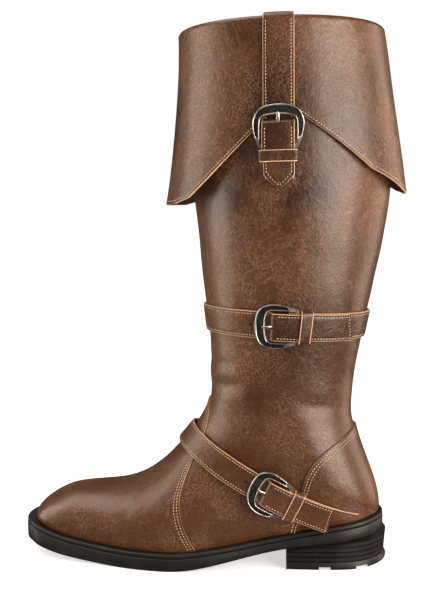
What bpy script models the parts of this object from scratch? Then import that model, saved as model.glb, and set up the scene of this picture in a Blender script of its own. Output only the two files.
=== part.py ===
"""Left pirate boot: leather upper, V-cut cuff, three buckled straps and a rubber sole.

Frame: metres, +Z up. The toe points along -X and the outer side of the foot along -Y.
The origin is in the middle of the heel's bottom face, on the floor.
"""
import math

import bmesh
import bpy
import numpy as np

for item in list(bpy.data.objects):
    bpy.data.objects.remove(item, do_unlink=True)

# Driving dimensions
LAST_LENGTH = 0.290          # heel back to toe tip, along the feather line
BALL_WIDTH = 0.092           # width of the feather line at the ball
ANKLE_HEIGHT = 0.141         # floor to the bend at the front of the ankle
COLLAR_HEIGHT = 0.428        # floor to the collar edge
CALF_WIDTH = 0.136           # widest across the shaft
HEEL_BACK_X = 0.032          # feather line at the heel back, from the origin

HEEL_HEIGHT = 0.025          # heel block at the back
TOE_SPRING = 0.012           # outsole bottom at the toe tip
SOLE_THICKNESS = 0.0139      # outsole and welt together
WELT_THICKNESS = 0.0032
WELT_MARGIN = 0.0065         # welt past the feather line at the ball
HEEL_FLARE = 0.0025          # heel bottom past the heel top, at the back
BREAST_X = HEEL_BACK_X - 0.2586 * LAST_LENGTH     # front face of the heel
WELT_EDGE = 0.0006           # rounding of the welt's rim
OUTSOLE_EDGE = 0.0015        # rounding of the outsole's and heel's bottom rim
OUTSOLE_LIP = 0.0009         # the same of the outsole's top rim
OUTSOLE_PROUD = 0.0003       # outsole past the welt
FIRST_GROOVE = 0.0065        # heel bottom to the middle of the lowest groove
GROOVE_LEAD = 0.006          # groove cutter past the breast
GROOVE_PITCH = 0.004
GROOVE_WIDTH = 0.0013
GROOVE_DEPTH = 0.0013
GROOVE_COUNT = 5
TREAD_CUT_WIDTH = 0.0095
TREAD_CUT_DEPTH = 0.0025
TREAD_CUT_PLACES = (0.031, 0.061)      # behind the breast
INSOLE_THICKNESS = 0.0035
INSOLE_INSET = 0.0030        # insole inside the upper's wall
INSOLE_TOE_INSET = 0.0055    # and further at the toe

UPPER_WALL = 0.002
VAMP_STEP = 0.0013
COUNTER_THICKNESS = 0.0013
CUFF_THICKNESS = 0.002
CUFF_DROP = 0.134            # collar to the cuff's front tip
CUFF_LIP = 0.010             # cuff turned inside the collar
STRAP_THICKNESS = 0.002
CUFF_STRAP_WIDTH = 0.0220
CALF_STRAP_WIDTH = 0.0212
ANKLE_STRAP_WIDTH = 0.0205
FRAME_LENGTH = 0.0305        # buckle frame along the strap
FRAME_WIDTH = 0.035
FRAME_THICKNESS = 0.003
BAR_THICKNESS = 0.0022
PRONG_WIDTH = 0.0024
PRONG_THICKNESS = 0.0016
KEEPER_WIDTH = 0.0085
KEEPER_THICKNESS = 0.0016
KEEPER_PLACE = 0.0068        # bar to the keeper's middle
STRAP_CLEARANCE = 0.0006     # prong hole and keeper beside what passes through
BASE_INSET = 0.001           # strap base narrower than its strap
BASE_LEAD = 0.003            # strap base before the bar
GAP = 0.0003                 # clearance between pieces
WRAP_GAP = 0.0007            # clearance of what wraps round the faceted upper

# Feather line, toe to heel back: shares of LAST_LENGTH from the heel back and of BALL_WIDTH
# station, lateral edge, medial edge
FEATHER = [
    (1.000, -0.065, 0.065),
    (0.994, 0.050, 0.180),
    (0.976, 0.155, 0.290),
    (0.948, 0.212, 0.355),
    (0.897, 0.272, 0.413),
    (0.824, 0.332, 0.473),
    (0.738, 0.408, 0.522),
    (0.652, 0.471, 0.520),
    (0.566, 0.498, 0.462),
    (0.483, 0.480, 0.386),
    (0.400, 0.433, 0.326),
    (0.317, 0.394, 0.317),
    (0.234, 0.386, 0.335),
    (0.159, 0.382, 0.345),
    (0.097, 0.362, 0.336),
    (0.052, 0.304, 0.287),
    (0.021, 0.207, 0.197),
    (0.005, 0.103, 0.098),
    (0.000, 0.000, 0.000),
]

# Sole: station, rise of the bottom as a share of TOE_SPRING, the same of HEEL_HEIGHT,
# share of SOLE_THICKNESS, share of WELT_MARGIN
SOLE = [
    (1.00, 1.00, 0.00, 1.24, 1.45),
    (0.95, 0.63, 0.00, 1.19, 1.22),
    (0.88, 0.33, 0.00, 1.12, 1.10),
    (0.80, 0.13, 0.00, 1.08, 1.04),
    (0.72, 0.02, 0.00, 1.05, 1.00),
    (0.65, 0.00, 0.00, 1.03, 1.00),
    (0.56, 0.00, 0.01, 1.02, 0.98),
    (0.48, 0.00, 0.13, 0.97, 0.92),
    (0.40, 0.00, 0.31, 0.86, 0.82),
    (0.32, 0.00, 0.51, 0.79, 0.76),
    (0.24, 0.00, 0.68, 0.82, 0.72),
    (0.15, 0.00, 0.81, 0.94, 0.72),
    (0.07, 0.00, 0.92, 1.00, 0.74),
    (0.00, 0.00, 1.00, 1.02, 0.80),
]

# Upper: each row is a section plane across the boot. Stations are shares of LAST_LENGTH from the
# heel back. Levels are shares of ANKLE_HEIGHT, and past 1 of the rest up to the collar.
# front station, front level, back station, back level (0 on the feather line),
# lateral and medial half width (shares of BALL_WIDTH, past the ankle of CALF_WIDTH), ridge offset,
# where along the plane it is widest, fullness of the front half, fullness of the back half
UPPER = [
    (1.000, 0.210, 1.000, 0.000, -0.065, 0.065, 0.065, 0.30, 0.00, 0.00),
    (0.994, 0.250, 0.994, 0.000, 0.062, 0.192, 0.065, 0.30, 0.00, 0.00),
    (0.976, 0.291, 0.976, 0.000, 0.176, 0.311, 0.066, 0.30, 0.04, 0.00),
    (0.948, 0.330, 0.948, 0.000, 0.238, 0.382, 0.068, 0.31, 0.07, 0.00),
    (0.897, 0.377, 0.897, 0.000, 0.300, 0.441, 0.072, 0.32, 0.08, 0.00),
    (0.824, 0.396, 0.824, 0.000, 0.361, 0.502, 0.080, 0.32, 0.07, 0.00),
    (0.738, 0.415, 0.738, 0.000, 0.438, 0.550, 0.087, 0.30, 0.03, 0.00),
    (0.672, 0.468, 0.672, 0.000, 0.487, 0.550, 0.080, 0.28, -0.04, 0.00),
    (0.626, 0.533, 0.621, 0.000, 0.508, 0.530, 0.070, 0.26, -0.10, 0.00),
    (0.586, 0.610, 0.565, 0.000, 0.518, 0.484, 0.058, 0.25, -0.16, 0.00),
    (0.523, 0.760, 0.428, 0.000, 0.482, 0.415, 0.030, 0.26, -0.18, 0.00),
    (0.487, 0.874, 0.276, 0.000, 0.457, 0.430, 0.012, 0.36, -0.10, 0.00),
    (0.475, 0.939, 0.138, 0.000, 0.462, 0.452, 0.004, 0.44, -0.03, 0.03),
    (0.4727, 0.976, 0.034, 0.000, 0.466, 0.464, 0.000, 0.48, 0.00, 0.08),
    (0.4724, 1.000, 0.000, 0.277, 0.468, 0.468, 0.000, 0.50, 0.00, 0.10),
    (0.4724, 1.017, 0.006, 0.418, 0.318, 0.318, 0.000, 0.50, 0.00, 0.08),
    (0.4724, 1.049, 0.041, 0.631, 0.320, 0.320, 0.000, 0.50, 0.00, 0.02),
    (0.4724, 1.094, 0.069, 0.865, 0.328, 0.328, 0.000, 0.50, 0.00, -0.04),
    (0.4745, 1.166, 0.058, 1.070, 0.358, 0.358, 0.000, 0.49, 0.00, -0.04),
    (0.4869, 1.286, 0.022, 1.247, 0.415, 0.415, 0.000, 0.49, 0.00, 0.00),
    (0.5045, 1.467, -0.023, 1.463, 0.470, 0.470, 0.000, 0.49, 0.00, 0.00),
    (0.5228, 1.679, -0.041, 1.686, 0.500, 0.500, 0.000, 0.49, 0.00, 0.00),
    (0.5372, 1.895, -0.026, 1.901, 0.490, 0.490, 0.000, 0.49, 0.00, 0.00),
    (0.5414, 2.000, -0.013, 2.000, 0.481, 0.481, 0.000, 0.49, 0.00, 0.00),
]
HEEL_ROW = 14                # the row that ends at the heel back, on the feather line

# Cuff edge: angle round the boot from the front, share of CUFF_DROP
CUFF_EDGE = [(0, 1.00), (22, 0.995), (33, 0.965), (45, 0.86), (88, 0.45), (135, 0.815), (165, 0.93),
             (180, 0.955)]
CUFF_FLARE_FRONT = 0.0215
CUFF_FLARE_SIDE = 0.0015
CUFF_FLARE_BACK = 0.0125

# Vamp seam from the feather line up to the ridge: row of the upper's table at the feather, at the
# widest part of the foot, and at the ridge
SEAM_ROWS = [(0.0, 9.45), (0.30, 9.25), (0.55, 9.55), (0.80, 10.7), (1.0, 12.25)]

# Heel counter's front edge: station, level as a share of ANKLE_HEIGHT
COUNTER_EDGE = [(0.252, 0.212), (0.243, 0.286), (0.217, 0.451), (0.203, 0.539), (0.181, 0.618), (0.142, 0.692),
                (0.105, 0.738), (0.062, 0.790)]


def spline(rows):
    """Smooth curve through the rows of a table, one unit of the parameter for each row."""
    values = np.array(rows, dtype=float)
    count = len(values)
    system = np.eye(count)
    right = np.zeros_like(values)
    for i in range(1, count - 1):
        system[i, i - 1:i + 2] = (1.0, 4.0, 1.0)
        right[i] = 6.0 * (values[i + 1] - 2.0 * values[i] + values[i - 1])
    bend = np.linalg.solve(system, right)

    def at(parameter):
        p = np.atleast_1d(np.asarray(parameter, dtype=float))
        i = np.clip(np.floor(p).astype(int), 0, count - 2)
        t = (p - i)[..., None]
        a = 1.0 - t
        curve = a * values[i] + t * values[i + 1]
        return curve + ((a ** 3 - a) * bend[i] + (t ** 3 - t) * bend[i + 1]) / 6.0

    return at


def x_at(station):
    """X of a share of LAST_LENGTH from the heel back."""
    return HEEL_BACK_X - np.asarray(station) * LAST_LENGTH


def height(level):
    """Height of a level: 0 the floor, 1 the ankle, 2 the collar."""
    level = np.asarray(level, dtype=float)
    leg = COLLAR_HEIGHT - ANKLE_HEIGHT
    return np.minimum(level, 1.0) * ANKLE_HEIGHT + np.maximum(level - 1.0, 0.0) * leg


def lookup(rows):
    """Columns of a table as functions of its first column."""
    curve = spline(rows)
    dense = np.linspace(0.0, len(rows) - 1.0, 1201)
    samples = curve(dense)
    order = np.argsort(samples[:, 0])

    def at(first, column):
        p = np.interp(first, samples[order, 0], dense[order])
        return curve(p)[..., column]

    return at


feather_curve = spline(FEATHER)
feather_at = lookup(FEATHER)
sole_at = lookup(SOLE)


def bottom_z(x):
    """Bottom of the outsole; behind the breast, top of the heel block."""
    station = (HEEL_BACK_X - x) / LAST_LENGTH
    return sole_at(station, 1) * TOE_SPRING + sole_at(station, 2) * HEEL_HEIGHT


def seat_z(x):
    """Feather line, where the upper stands on the welt."""
    x = np.atleast_1d(x)
    station = (HEEL_BACK_X - x) / LAST_LENGTH
    return bottom_z(x) + sole_at(station, 3) * SOLE_THICKNESS + GAP


upper_curve = spline(UPPER)
TOP_ROW = len(UPPER) - 1


metric_rows = []
for index, row in enumerate(UPPER):
    scale = CALF_WIDTH if index > HEEL_ROW else BALL_WIDTH
    on_feather = index < HEEL_ROW
    back_x = float(x_at(row[2]))
    seat = float(seat_z(back_x)[0])
    back_height = seat if on_feather or index == HEEL_ROW else float(height(row[3]))
    front_height = seat if index == 0 else float(height(row[1]))
    metric_rows.append((float(x_at(row[0])), front_height, back_x, back_height,
                        row[4] * scale, row[5] * scale, row[6] * scale, row[7], row[8], row[9]))
metric_curve = spline(metric_rows)


def upper_point(s, t):
    """Point of the upper's outer face. s runs toe to collar in rows of its table. t runs across:
    0 the lateral feather (or the back seam), 0.5 the ridge, 1 the medial feather."""
    s, t = np.broadcast_arrays(np.asarray(s, dtype=float), np.asarray(t, dtype=float))
    row = metric_curve(s.ravel())
    front = row[:, 0:2]
    back = row[:, 2:4].copy()
    lateral, medial, ridge, widest, full_front, full_back = (row[:, k] for k in range(4, 10))
    foot = s.ravel() < HEEL_ROW
    back[foot, 0] = np.minimum(back[foot, 0], HEEL_BACK_X)
    station = (HEEL_BACK_X - back[:, 0]) / LAST_LENGTH
    back[foot, 1] = seat_z(back[foot, 0])
    across = 2.0 * t.ravel() - 1.0
    medial_side = across > 0.0
    side = np.where(medial_side, 1.0, -1.0)
    half = np.where(medial_side, medial - ridge, lateral + ridge)
    edge = np.where(medial_side, feather_at(station, 2), feather_at(station, 1)) * BALL_WIDTH
    base = np.where(foot, np.where(medial_side, edge - ridge, edge + ridge), 0.0)
    half = np.maximum(half, 1e-6)
    ratio = np.clip(base / half, 0.0, 0.995)
    turn = base_turn(ratio, full_back)
    length = np.hypot(front[:, 0] - back[:, 0], front[:, 1] - back[:, 1])
    upper_run = np.hypot((1.0 - widest) * length, half)
    lower_run = np.hypot(widest * length, half - ratio * half)
    share = upper_run / (upper_run + lower_run)
    a = np.abs(across)
    up = a <= share
    phi = np.where(up, (1.0 - a / share) * math.pi / 2, 0.0)
    psi = np.where(up, 0.0, (a - share) / np.maximum(1.0 - share, 1e-9)) * turn
    q = np.where(up, widest + (1.0 - widest) * np.sin(phi), widest * (1.0 - np.sin(psi) / np.sin(turn)))
    w_up = np.cos(phi) * (1.0 + full_front * np.sin(phi) ** 2)
    w_low = np.cos(psi) * (1.0 + full_back * np.sin(psi) ** 2)
    w = half * np.where(up, w_up, w_low)
    x = back[:, 0] + q * (front[:, 0] - back[:, 0])
    z = back[:, 1] + q * (front[:, 1] - back[:, 1])
    y = ridge + side * w
    return np.stack([x, y, z], axis=1).reshape(s.shape + (3,))


def base_turn(ratio, fullness):
    """Angle at which the lower half of a section has narrowed to the feather line."""
    low = np.full_like(ratio, 0.02)
    high = np.full_like(ratio, math.pi / 2)
    for _ in range(40):
        middle = 0.5 * (low + high)
        width = np.cos(middle) * (1.0 + fullness * np.sin(middle) ** 2)
        low = np.where(width > ratio, middle, low)
        high = np.where(width > ratio, high, middle)
    return 0.5 * (low + high)


def upper_normal(s, t):
    """Outward normal of the upper's outer face."""
    s, t = np.broadcast_arrays(np.asarray(s, dtype=float), np.asarray(t, dtype=float))
    step_s = 0.02
    step_t = 0.004
    closed = s >= HEEL_ROW
    s0 = np.clip(s - step_s, np.where(closed, HEEL_ROW, 0.02), TOP_ROW)
    s1 = np.clip(s + step_s, 0.04, TOP_ROW)
    t0 = t - step_t
    t1 = t + step_t
    t0 = np.where(closed, np.mod(t0, 1.0), np.clip(t0, 0.0, 1.0))
    t1 = np.where(closed, np.mod(t1, 1.0), np.clip(t1, 0.0, 1.0))
    inner = np.where(closed, np.mod(t, 1.0), np.clip(t, 0.0, 1.0))
    along = upper_point(s1, inner) - upper_point(s0, inner)
    across = upper_point(np.clip(s, 0.03, TOP_ROW), t1) - upper_point(np.clip(s, 0.03, TOP_ROW), t0)
    normal = np.cross(along, across)
    length = np.linalg.norm(normal, axis=-1, keepdims=True)
    normal = normal / np.maximum(length, 1e-12)
    return normal


def upper_offset(s, t, distance):
    """Point at a distance out from the upper's outer face."""
    distance = np.asarray(distance, dtype=float)
    return upper_point(s, t) + upper_normal(s, t) * distance[..., None]


def solve_row(t, measure, target, low, high):
    """Row s at which measure(x, z) reaches target, on each column t."""
    t, target = np.broadcast_arrays(np.asarray(t, dtype=float), np.asarray(target, dtype=float))
    low = np.full(t.shape, float(low))
    high = np.full(t.shape, float(high))
    for _ in range(36):
        middle = 0.5 * (low + high)
        point = upper_point(middle, np.mod(t, 1.0))
        below = measure(point[..., 0], point[..., 2]) < target
        low = np.where(below, middle, low)
        high = np.where(below, high, middle)
    return 0.5 * (low + high)


def side_columns(x, z, side=-1):
    """Row and column of the upper's lateral (-1) or medial (1) face at a place of the side view."""
    x, z = np.broadcast_arrays(np.asarray(x, dtype=float), np.asarray(z, dtype=float))

    def across_row(s):
        row = metric_curve(s.ravel()).reshape(x.shape + (10,))
        return row[..., 2], row[..., 3], row[..., 0] - row[..., 2], row[..., 1] - row[..., 3]

    low = np.full(x.shape, 3.0)
    high = np.full(x.shape, float(TOP_ROW))
    for _ in range(40):
        middle = 0.5 * (low + high)
        back_x, back_z, run_x, run_z = across_row(middle)
        below = run_x * (z - back_z) - run_z * (x - back_x) < 0.0
        low = np.where(below, middle, low)
        high = np.where(below, high, middle)
    s = 0.5 * (low + high)
    back_x, back_z, run_x, run_z = across_row(s)
    target = (x - back_x) * run_x + (z - back_z) * run_z
    from_back = np.zeros(x.shape)
    to_ridge = np.full(x.shape, 0.5)
    for _ in range(40):
        middle = 0.5 * (from_back + to_ridge)
        point = upper_point(s, middle if side < 0 else 1.0 - middle)
        short = (point[..., 0] - back_x) * run_x + (point[..., 2] - back_z) * run_z < target
        from_back = np.where(short, middle, from_back)
        to_ridge = np.where(short, to_ridge, middle)
    t = 0.5 * (from_back + to_ridge)
    return s, t if side < 0 else 1.0 - t


def material(name, colour, roughness, metallic):
    made = bpy.data.materials.new(name)
    made.use_nodes = True
    shader = made.node_tree.nodes["Principled BSDF"]
    shader.inputs["Base Color"].default_value = colour
    shader.inputs["Roughness"].default_value = roughness
    shader.inputs["Metallic"].default_value = metallic
    return made


def leather(name):
    return material(name + "_leather", (0.165, 0.070, 0.032, 1.0), 0.42, 0.0)


def rubber(name):
    return material(name + "_rubber", (0.012, 0.012, 0.013, 1.0), 0.55, 0.0)


def metal(name):
    return material(name + "_metal", (0.42, 0.41, 0.40, 1.0), 0.3, 1.0)


def add_object(name, points, faces, surface):
    """Closed mesh object with its faces turned outward."""
    mesh = bpy.data.meshes.new(name)
    mesh.from_pydata([tuple(map(float, point)) for point in points], [], faces)
    work = bmesh.new()
    work.from_mesh(mesh)
    bmesh.ops.remove_doubles(work, verts=work.verts, dist=1e-7)
    bmesh.ops.recalc_face_normals(work, faces=work.faces)
    if work.calc_volume(signed=True) < 0.0:
        bmesh.ops.reverse_faces(work, faces=work.faces)
    work.to_mesh(mesh)
    work.free()
    mesh.materials.append(surface)
    mesh.shade_smooth()
    mesh.set_sharp_from_angle(angle=math.radians(40))
    made = bpy.data.objects.new(name, mesh)
    bpy.context.scene.collection.objects.link(made)
    return made


def add_sheet(name, under, over, surface, closed=False, window=None):
    """Solid between two grids of points, as a sheet with an under and an over face.
    window is a pair of cell ranges left open, as a hole through the sheet."""
    rows, columns = under.shape[:2]
    count = rows * columns
    points = np.concatenate([under.reshape(-1, 3), over.reshape(-1, 3)])
    wraps = rows if closed else rows - 1

    def cell_open(i, j):
        if window is None:
            return False
        (i0, i1), (j0, j1) = window
        return i0 <= i < i1 and j0 <= j < j1

    faces = []
    edges = {}
    for i in range(wraps):
        for j in range(columns - 1):
            if cell_open(i, j):
                continue
            following = (i + 1) % rows
            near, far = i * columns + j, following * columns + j
            loop = (near, far, far + 1, near + 1)
            faces.append(loop)
            faces.append(tuple(reversed([k + count for k in loop])))
            for a, b in zip(loop, loop[1:] + loop[:1]):
                if (b, a) in edges:
                    del edges[(b, a)]
                else:
                    edges[(a, b)] = True
    for a, b in edges:
        faces.append((b, a, a + count, b + count))
    return add_object(name, points, faces, surface)


def add_tube(name, rings, surface):
    """Closed ring of sections, such as a buckle frame. rings is (sections, points, 3)."""
    sections, count = rings.shape[:2]
    faces = []
    for i in range(sections):
        following = (i + 1) % sections
        for j in range(count):
            k = (j + 1) % count
            faces.append((i * count + j, following * count + j, following * count + k, i * count + k))
    return add_object(name, rings.reshape(-1, 3), faces, surface)


def add_stack(name, loops, surface):
    """Solid between a first and a last loop round the sole, with the loops between as its side.
    Each loop runs down the lateral side and back up the medial side."""
    levels, count = loops.shape[:2]
    faces = []
    for k in range(levels - 1):
        for i in range(count):
            j = (i + 1) % count
            faces.append((k * count + i, k * count + j, (k + 1) * count + j, (k + 1) * count + i))
    half = count // 2
    for start in (0, (levels - 1) * count):
        for i in range(half):
            ring = (i, i + 1, (2 * half - i - 1) % count, (2 * half - i) % count)
            corners = tuple(dict.fromkeys(start + k for k in ring))
            faces.append(corners)
    return add_object(name, loops.reshape(-1, 3), faces, surface)


# Sole

END_ROW = len(FEATHER) - 1.0


def outline(parameters, margin, side):
    """Points at a margin out from the feather line. side is -1 lateral or 1 medial."""
    column = 2 if side > 0 else 1

    def place(p):
        row = feather_curve(p)
        return np.stack([x_at(row[..., 0]), side * row[..., column] * BALL_WIDTH], axis=-1)

    p = np.asarray(parameters, dtype=float)
    step = 0.01
    tangent = place(np.minimum(p + step, END_ROW)) - place(np.maximum(p - step, 0.0))
    tangent[p <= 0.0] = (0.0, side)
    tangent[p >= END_ROW] = (0.0, -side)
    tangent /= np.linalg.norm(tangent, axis=-1, keepdims=True)
    outward = np.stack([-tangent[:, 1], tangent[:, 0]], axis=-1) * side
    return place(p) + outward * np.broadcast_to(margin, p.shape)[..., None]


def margin_at(parameters):
    """Welt's margin along the feather line."""
    station = feather_curve(parameters)[..., 0]
    return sole_at(station, 4) * WELT_MARGIN


def loop_at(parameters, margin, z_function, whole=True):
    """Loop round the sole: the lateral side from the first row on, then the medial side back."""
    lateral = outline(parameters, margin, -1)
    medial = outline(parameters, margin, 1)[::-1]
    flat = np.concatenate([lateral, medial[1:-1] if whole else medial[1:]])
    return np.column_stack([flat, z_function(np.clip(flat[:, 0], x_at(1.0), HEEL_BACK_X))])


SOLE_ROWS = np.concatenate([np.linspace(0.0, 3.0, 8)[:-1], np.linspace(3.0, 14.0, 18)[:-1],
                            np.linspace(14.0, END_ROW, 9)])
margins = margin_at(SOLE_ROWS)


def welt_top(x):
    return seat_z(x) - GAP


def outsole_top(x):
    return welt_top(x) - WELT_THICKNESS - GAP


def make_welt():
    loops = [
        loop_at(SOLE_ROWS, margins - WELT_EDGE, welt_top),
        loop_at(SOLE_ROWS, margins, lambda x: welt_top(x) - WELT_EDGE),
        loop_at(SOLE_ROWS, margins, lambda x: welt_top(x) - WELT_THICKNESS + WELT_EDGE),
        loop_at(SOLE_ROWS, margins - WELT_EDGE, lambda x: welt_top(x) - WELT_THICKNESS),
    ]
    return add_stack("welt", np.array(loops), rubber("welt"))


def make_outsole():
    loops = [
        loop_at(SOLE_ROWS, margins + OUTSOLE_PROUD - OUTSOLE_LIP, outsole_top),
        loop_at(SOLE_ROWS, margins + OUTSOLE_PROUD, lambda x: outsole_top(x) - OUTSOLE_LIP),
        loop_at(SOLE_ROWS, margins + OUTSOLE_PROUD, lambda x: bottom_z(x) + OUTSOLE_EDGE),
        loop_at(SOLE_ROWS, margins - OUTSOLE_EDGE, bottom_z),
    ]
    return add_stack("outsole", np.array(loops), rubber("outsole"))


def make_insole():
    inset = UPPER_WALL + INSOLE_INSET
    toe_inset = INSOLE_TOE_INSET * np.exp(-SOLE_ROWS / 2.5)
    loops = [
        loop_at(SOLE_ROWS, -inset - toe_inset, lambda x: welt_top(x) + GAP + INSOLE_THICKNESS),
        loop_at(SOLE_ROWS, -inset - toe_inset, lambda x: welt_top(x) + GAP),
    ]
    return add_stack("insole", np.array(loops), material("insole_board", (0.30, 0.22, 0.15, 1.0), 0.8, 0.0))


def heel_rows(count):
    """Rows of the feather table from the breast to the heel back."""
    dense = np.linspace(4.0, END_ROW, 800)
    first = np.interp(BREAST_X, x_at(feather_curve(dense)[:, 0]), dense)
    return first + (END_ROW - first) * np.sin(np.linspace(0.0, 1.0, count) * math.pi / 2)


def make_heel():
    rows = heel_rows(20)
    base = margin_at(rows)
    behind = np.clip((x_at(feather_curve(rows)[:, 0]) - BREAST_X) / (HEEL_BACK_X - BREAST_X), 0.0, 1.0)
    flare = HEEL_FLARE * (0.4 + 0.6 * behind)

    def level(share, inset, z_function):
        margin = base + OUTSOLE_PROUD + flare * (1.0 - share) - inset
        loop = loop_at(rows, margin, z_function, whole=False)
        loop[0, 0] = BREAST_X
        loop[-1, 0] = BREAST_X
        return loop

    def top(x):
        return bottom_z(x) - GAP

    loops = [
        level(1.0, OUTSOLE_EDGE, top),
        level(0.95, 0.0, lambda x: top(x) - OUTSOLE_EDGE),
        level(0.1, 0.0, lambda x: np.full_like(x, OUTSOLE_EDGE)),
        level(0.0, OUTSOLE_EDGE, lambda x: np.zeros_like(x)),
    ]
    heel = add_stack("heel", np.array(loops), rubber("heel"))
    for k in range(GROOVE_COUNT):
        centre = FIRST_GROOVE + k * GROOVE_PITCH
        path = level(1.0 - centre / HEEL_HEIGHT, 0.0, lambda x: np.full_like(x, centre))
        direction = np.gradient(path[:, :2], axis=0)
        direction /= np.linalg.norm(direction, axis=1, keepdims=True)
        outward = np.column_stack([-direction[:, 1], direction[:, 0], np.zeros(len(path))])
        if outward[0, 1] > 0.0:
            outward = -outward
        lead = [[GROOVE_LEAD, 0.0, 0.0]]
        path = np.concatenate([path[:1] - lead, path, path[-1:] - lead])
        outward = np.concatenate([outward[:1], outward, outward[-1:]])
        up = np.array([0.0, 0.0, 0.5 * GROOVE_WIDTH])
        inner = path - outward * GROOVE_DEPTH
        outer = path + outward * (HEEL_FLARE + GROOVE_DEPTH)
        under = np.stack([inner - up, outer - up], axis=1)
        over = np.stack([inner + up, outer + up], axis=1)
        cut(heel, add_sheet("groove_cutter_%d" % k, under, over, rubber("cutter")))
    for k, place in enumerate(TREAD_CUT_PLACES):
        ends = BREAST_X + place + np.array([-0.5, 0.5]) * TREAD_CUT_WIDTH
        under = np.array([[(x, y, -TREAD_CUT_DEPTH) for y in (-BALL_WIDTH, BALL_WIDTH)] for x in ends])
        over = under * [1.0, 1.0, -1.0]
        cut(heel, add_sheet("tread_cutter_%d" % k, under, over, rubber("cutter")))
    return heel


def cut(target, cutter):
    """Boolean difference, with the cutter kept as a hidden guide."""
    cutter.hide_render = True
    cutter.display_type = "WIRE"
    boolean = target.modifiers.new(cutter.name, "BOOLEAN")
    boolean.operation = "DIFFERENCE"
    boolean.solver = "EXACT"
    boolean.object = cutter


# Upper, with the vamp as a step in its wall

seam_at = lookup(SEAM_ROWS)


def seam_row(t):
    """Row of the vamp seam on column t."""
    return seam_at(1.0 - np.abs(2.0 * np.asarray(t) - 1.0), 1)


def make_upper():
    columns = np.linspace(0.0, 1.0, 33)
    seam = seam_row(columns)
    front = [seam * share for share in np.linspace(0.0, 1.0, 17)]
    middle = [seam + (HEEL_ROW - seam) * share for share in np.linspace(0.0, 1.0, 7)]
    shaft = [np.full_like(seam, row) for row in np.linspace(HEEL_ROW, TOP_ROW, 16)[1:]]
    rows = np.array(front + middle + shaft)
    proud = np.zeros_like(rows)
    proud[:len(front)] = VAMP_STEP
    t = np.broadcast_to(columns, rows.shape)
    outer = upper_offset(rows, t, proud)
    inner = upper_offset(rows, t, np.full_like(rows, -UPPER_WALL))
    outer[0] = upper_point([0.0], [0.5])[0]
    inner[0] = outer[0] + [1.4 * UPPER_WALL, 0.0, 0.0]
    outer[0] -= [VAMP_STEP, 0.0, 0.0]
    on_feather = rows <= HEEL_ROW
    for face in (outer, inner):
        floor = seat_z(np.clip(face[..., 0], x_at(1.0), HEEL_BACK_X))
        face[..., 2] = np.where(on_feather, np.maximum(face[..., 2], floor), face[..., 2])
        edge = on_feather & ((t == 0.0) | (t == 1.0))
        face[..., 2] = np.where(edge, floor, face[..., 2])
    count_rows, count = rows.shape
    points = np.concatenate([outer.reshape(-1, 3), inner.reshape(-1, 3)])
    inside = count_rows * count
    faces = []
    for i in range(count_rows - 1):
        for j in range(count - 1):
            loop = [i * count + j, (i + 1) * count + j, (i + 1) * count + j + 1, i * count + j + 1]
            faces.append(loop)
            faces.append([k + inside for k in reversed(loop)])
    heel_index = len(front) + len(middle) - 1
    for i in range(heel_index):
        for j in (0, count - 1):
            a = i * count + j
            b = (i + 1) * count + j
            faces.append([a, b, b + inside, a + inside])
    last = (count_rows - 1) * count
    for j in range(count - 1):
        faces.append([last + j, last + j + 1, last + j + 1 + inside, last + j + inside])
    return add_object("upper", points, faces, leather("upper"))


# Heel counter, a patch between the back line, the feather line and its curved front edge

back_rows = np.linspace(HEEL_ROW, TOP_ROW, 200)
back_line = metric_curve(back_rows)[:, 2:4]


def make_counter():
    edge = np.array([(float(x_at(a)), float(height(b))) for a, b in COUNTER_EDGE])
    edge_curve = spline(edge)
    corner = len(edge) - 4.0
    levels = np.linspace(0.0, 1.0, 9)
    shares = 1.0 - np.cos(np.linspace(0.0, 1.0, 12) * math.pi / 2)
    top_z = edge[-1, 1]
    back_z = back_line[0, 1] + (top_z - back_line[0, 1]) * levels
    back = np.column_stack([np.interp(back_z, back_line[:, 1], back_line[:, 0]), back_z])
    front = edge_curve(levels * corner)
    front[0, 1] = seat_z(front[0, 0])[0]
    top = edge_curve(len(edge) - 1.0 - shares * (len(edge) - 1.0 - corner))
    top[0] = back[-1]
    bottom_x = back[0, 0] + (front[0, 0] - back[0, 0]) * shares
    bottom = np.column_stack([bottom_x, seat_z(bottom_x)])
    v = levels[:, None, None]
    u = shares[None, :, None]
    patch = (1 - u) * back[:, None] + u * front[:, None] + (1 - v) * bottom[None] + v * top[None]
    patch -= (1 - u) * (1 - v) * back[0] + u * (1 - v) * front[0] + (1 - u) * v * back[-1] + u * v * front[-1]
    halves = []
    for side in (-1, 1):
        s, t = side_columns(patch[..., 0], patch[..., 1], side)
        from_back = np.maximum(t if side < 0 else 1.0 - t, 0.003 * np.arange(len(shares)))
        from_back[:, 0] = 0.0
        t = from_back if side < 0 else 1.0 - from_back
        halves.append((s[:, ::-1], t[:, ::-1]) if side < 0 else (s[:, 1:], t[:, 1:]))
    s = np.concatenate([halves[0][0], halves[1][0]], axis=1)
    t = np.concatenate([halves[0][1], halves[1][1]], axis=1)
    faces = []
    for distance in (WRAP_GAP, WRAP_GAP + COUNTER_THICKNESS):
        face = upper_offset(s, t, np.full(s.shape, distance))
        face[..., 2] = np.maximum(face[..., 2], seat_z(np.minimum(face[..., 0], HEEL_BACK_X)))
        faces.append(face)
    return add_sheet("heel_counter", faces[0], faces[1], leather("heel_counter"))


# Cuff, folded over the collar

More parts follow.
